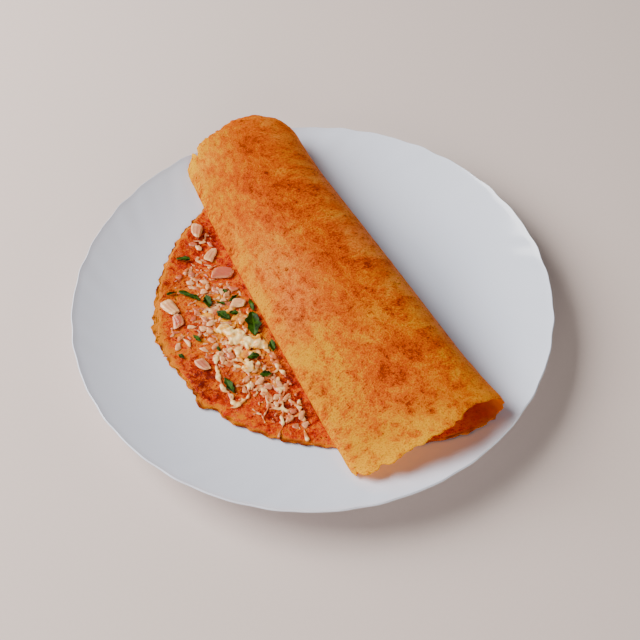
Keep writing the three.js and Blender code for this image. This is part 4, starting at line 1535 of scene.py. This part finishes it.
@dataclass
class CorianderToppings:
    """The coriander: seven larger blades, each in place of its solid, and small shreds."""

    face: OpenFace
    finish: Finish = FRESH_CORIANDER
    blades: tuple = (
        Topping((-34.8, 5.2), (9.6, 16.5, 0.5), -16), Topping((-60.6, 40.4), (3.8, 13, 0.5), 38),
        Topping((-52.4, 31.2), (5.6, 9.2, 0.5), -8), Topping((-48, 17.8), (5.4, 9.6, 0.5), 28),
        Topping((-63.4, -27.4), (4.4, 11, 0.5), 4), Topping((-44, -15.6), (4.4, 6.6, 0.5), 80),
        Topping((-53.6, 66.4), (3.8, 8, 0.5), 65))
    shreds: tuple = (
        Topping((-38, 27), (2.2, 7, 0.4), -70), Topping((-31.5, -13.5), (4, 8, 0.4), -15),
        Topping((-42.5, -29.5), (4, 6.5, 0.4), 70), Topping((-67.6, 9.6), (2.6, 6, 0.4), 20),
        Topping((-40.5, 34), (2.6, 3.6, 0.4), 10), Topping((-42, 17), (4, 5, 0.4), 60),
        Topping((-57, 36.5), (2.4, 5, 0.4), 15), Topping((-69, 45.5), (1.8, 6, 0.4), 80),
        Topping((-59.5, -2.5), (2, 3, 0.4), 0), Topping((-80, 2), (2.4, 3.6, 0.4), 30),
        Topping((-30.5, 18), (3, 9, 0.4), -8), Topping((-46, 27), (2, 5, 0.4), 50))
    gap: float = 0.55
    shred_seed: int = 20

    def blade(self, name: str, topping: Topping, seed: int) -> Piece:
        """Models one blade from a grid: lobed outline, folded along its midrib and wavy.

        Args:
            name: Name of the piece.
            topping: Its place, size and turn.
            seed: Seed of its curl.

        Returns:
            The blade, without a finish.
        """
        piece = new_piece(name, bpy.ops.mesh.primitive_grid_add, x_subdivisions=12, y_subdivisions=28, size=2)
        flat = points_of(piece) * MM
        across, run = flat[:, 0], flat[:, 1]
        t = (run + 1) / 2
        lobes = 0.84 + 0.13 * np.cos(5 * math.pi * t + seed) * np.sign(across + 0.01)
        lobes = lobes + 0.07 * np.sin(23 * t + seed)
        half = topping.size[0] / 2 * np.maximum(0.06, np.sin(math.pi * t) ** 0.7 * lobes)
        z = 0.5 * np.sin(5 * t + 2 * across + seed) + 0.9 * np.abs(across) ** 1.4 * (half / 2.4)
        shape = np.column_stack([across * half, run * topping.size[1] / 2, z])
        set_points(piece, self.face.set_down(shape, topping.at, topping.turn, -self.gap))
        vein = np.exp(-((across * half / 0.25) ** 2))
        ribs = np.exp(-((np.sin((t * 14 - np.abs(across) * 2.2)) / 0.22) ** 2)) * 0.6
        set_number(piece, "vein", vein + ribs * (np.abs(across) > 0.08))
        apply_modifier(piece, "SOLIDIFY", thickness=topping.size[2] * MM, offset=0.0)
        return piece

    def build(self) -> list[Piece]:
        """Models the blades and the shreds.

        Returns:
            The finished pieces.
        """
        material = self.finish.material()
        made = []
        for k, topping in enumerate(self.blades):
            piece = self.blade(f"coriander_blade_{k + 1}", topping, k)
            made.append(dress(piece, "coriander", f"coriander_leaf_{k + 1}", material=material, angle=50.0))
        bits = [self.blade(f"shred_{k}", topping, self.shred_seed + k)
                for k, topping in enumerate(self.shreds)]
        take(bits[0])
        for bit in bits:
            bit.select_set(True)
        bpy.ops.object.join()
        made.append(dress(named("coriander_shreds"), "coriander", material=material, angle=50.0))
        return made


@dataclass
class ChilliFlakes:
    """Crushed chilli and pepper, strewn over the open face to within 2 mm of its edge."""

    face: OpenFace
    finish: Finish = DRIED_CHILLI
    count: int = 150
    seed: int = 77
    reach_x: float = -29.5
    reach_y: tuple[float, float] = (-85.0, 95.0)
    sunk: float = 0.12

    def build(self) -> Piece:
        """Models one flat chip, and joins jittered copies of it over the open face.

        Returns:
            The finished flakes.
        """
        draw = random.Random(self.seed)
        template = new_piece("chilli_chip", bpy.ops.mesh.primitive_ico_sphere_add, subdivisions=1, radius=0.5)
        unit = points_of(template) * MM
        form = self.face.form
        placed = []
        while len(placed) < self.count:
            x = draw.uniform(form.tip_x + 2, self.reach_x)
            y = draw.uniform(*self.reach_y)
            if abs(y - form.middle_y) > form.half_width(x - form.tip_x - 1.5) - 2.0:
                continue
            size = np.array([draw.uniform(0.5, 1.5), draw.uniform(0.4, 0.9), draw.uniform(0.3, 0.5)])
            shape = unit * size * (1 + 0.3 * cloud(unit, 1.0, 1, seed=3.0 * len(placed)))[:, None]
            placed.append(self.face.set_down(shape, (x, y), draw.uniform(0, 180), self.sunk))
        joined = join_copies("chilli_flakes", template, placed)
        return dress(joined, "dosa_crust", material=self.finish.material(), angle=40.0)


@dataclass
class Studio:
    """The plain floor, the soft light and the camera at the photograph's viewing angle."""

    camera_at: tuple[float, float, float] = (-151.46, -334.49, 493.07)
    target: tuple[float, float, float] = (2.63, -4.04, 0.0)
    roll: float = -0.7956
    lens: float = 59.6
    sensor: float = 36.0
    floor_size: float = 8.0
    floor: Finish = PAINTED_TABLE
    # The window's bearing in degrees, its height for each unit outward and its distance in metres
    window_bearing: float = 140.0
    window_rise: float = 0.76
    window_reach: float = 1.15
    room_colour: str = "f4f5fa"
    room_light: float = 0.12

    def axes(self) -> tuple[Vector, Vector, Vector]:
        """Works out how the camera is turned.

        Returns:
            Its right, up and backward directions.
        """
        forward = (Vector(self.target) - Vector(self.camera_at)).normalized()
        right = forward.cross(Vector((0, 0, 1))).normalized()
        up = right.cross(forward)
        turn = math.radians(self.roll)
        cos, sin = math.cos(turn), math.sin(turn)
        return right * cos + up * sin, up * cos - right * sin, -forward

    def place_camera(self) -> None:
        """Puts the camera where the photograph was taken from."""
        deselect()
        bpy.ops.object.camera_add()
        camera = bpy.context.object
        camera.name = "viewing_camera"
        turn = Matrix(self.axes()).transposed().to_4x4()
        camera.matrix_world = Matrix.Translation(Vector(self.camera_at) * MM) @ turn
        camera.data.lens = self.lens
        camera.data.sensor_width = self.sensor
        camera.data.clip_start = 0.01
        bpy.context.scene.camera = camera

    def lay_floor(self) -> None:
        """Lays the pale table top under the plate."""
        floor = new_piece("table_top", bpy.ops.mesh.primitive_plane_add, size=self.floor_size)
        floor.data.materials.append(self.floor.material())

    @staticmethod
    def lamp(name: str, at: tuple[float, float, float], size: float, power: float, colour: str) -> None:
        """Hangs a square soft lamp that faces the plate.

        Args:
            name: Its name.
            at: Its place, in metres.
            size: Its width, in metres.
            power: Its power, in watts.
            colour: Its hex colour.
        """
        deselect()
        bpy.ops.object.light_add(type="AREA", location=at)
        lamp = bpy.context.object
        lamp.name = name
        lamp.data.size = size
        lamp.data.energy = power
        lamp.data.color = linear(colour)[:3]
        lamp.rotation_euler = (-Vector(at)).to_track_quat("-Z", "Y").to_euler()

    def light(self) -> None:
        """Lights the scene with a soft window at the back left, two low fills and a pale room."""
        bearing = math.radians(self.window_bearing)
        key = Vector((math.cos(bearing), math.sin(bearing), self.window_rise)) * self.window_reach
        self.lamp("window_light", tuple(key), 1.05, 60.0, "fffaf4")
        self.lamp("fill_light", (1.2, -0.9, 0.5), 1.0, 4.5, "fff4e8")
        self.lamp("front_bounce", (-0.75, -1.25, 0.55), 0.9, 17.0, "fff2e6")
        world = bpy.data.worlds.new("pale_room")
        world.use_nodes = True
        back = world.node_tree.nodes["Background"]
        back.inputs[0].default_value = linear(self.room_colour)
        back.inputs[1].default_value = self.room_light
        bpy.context.scene.world = world


def main() -> None:
    """Builds the plate, the dosa and its toppings, and sets the stage."""
    logging.basicConfig(level=logging.INFO, format="%(name)s: %(message)s")
    Plate().build()
    sheet = DosaSheet()
    sheet.build()
    face = OpenFace(sheet.form)
    petals = OnionPetals(face)
    cheese = CheeseToppings(face)
    coriander = CorianderToppings(face)
    blocked = [(t.at, math.hypot(t.size[0], t.size[1]) / 2) for t in petals.petals + coriander.blades]
    blocked += [(at, radius) for at, radius, _ in cheese.lumps + cheese.crumb]
    petals.build()
    ChoppedOnion(face, tuple(blocked)).build()
    cheese.build()
    coriander.build()
    ChilliFlakes(face).build()
    studio = Studio()
    studio.lay_floor()
    studio.light()
    studio.place_camera()


if __name__ == "__main__":
    main()
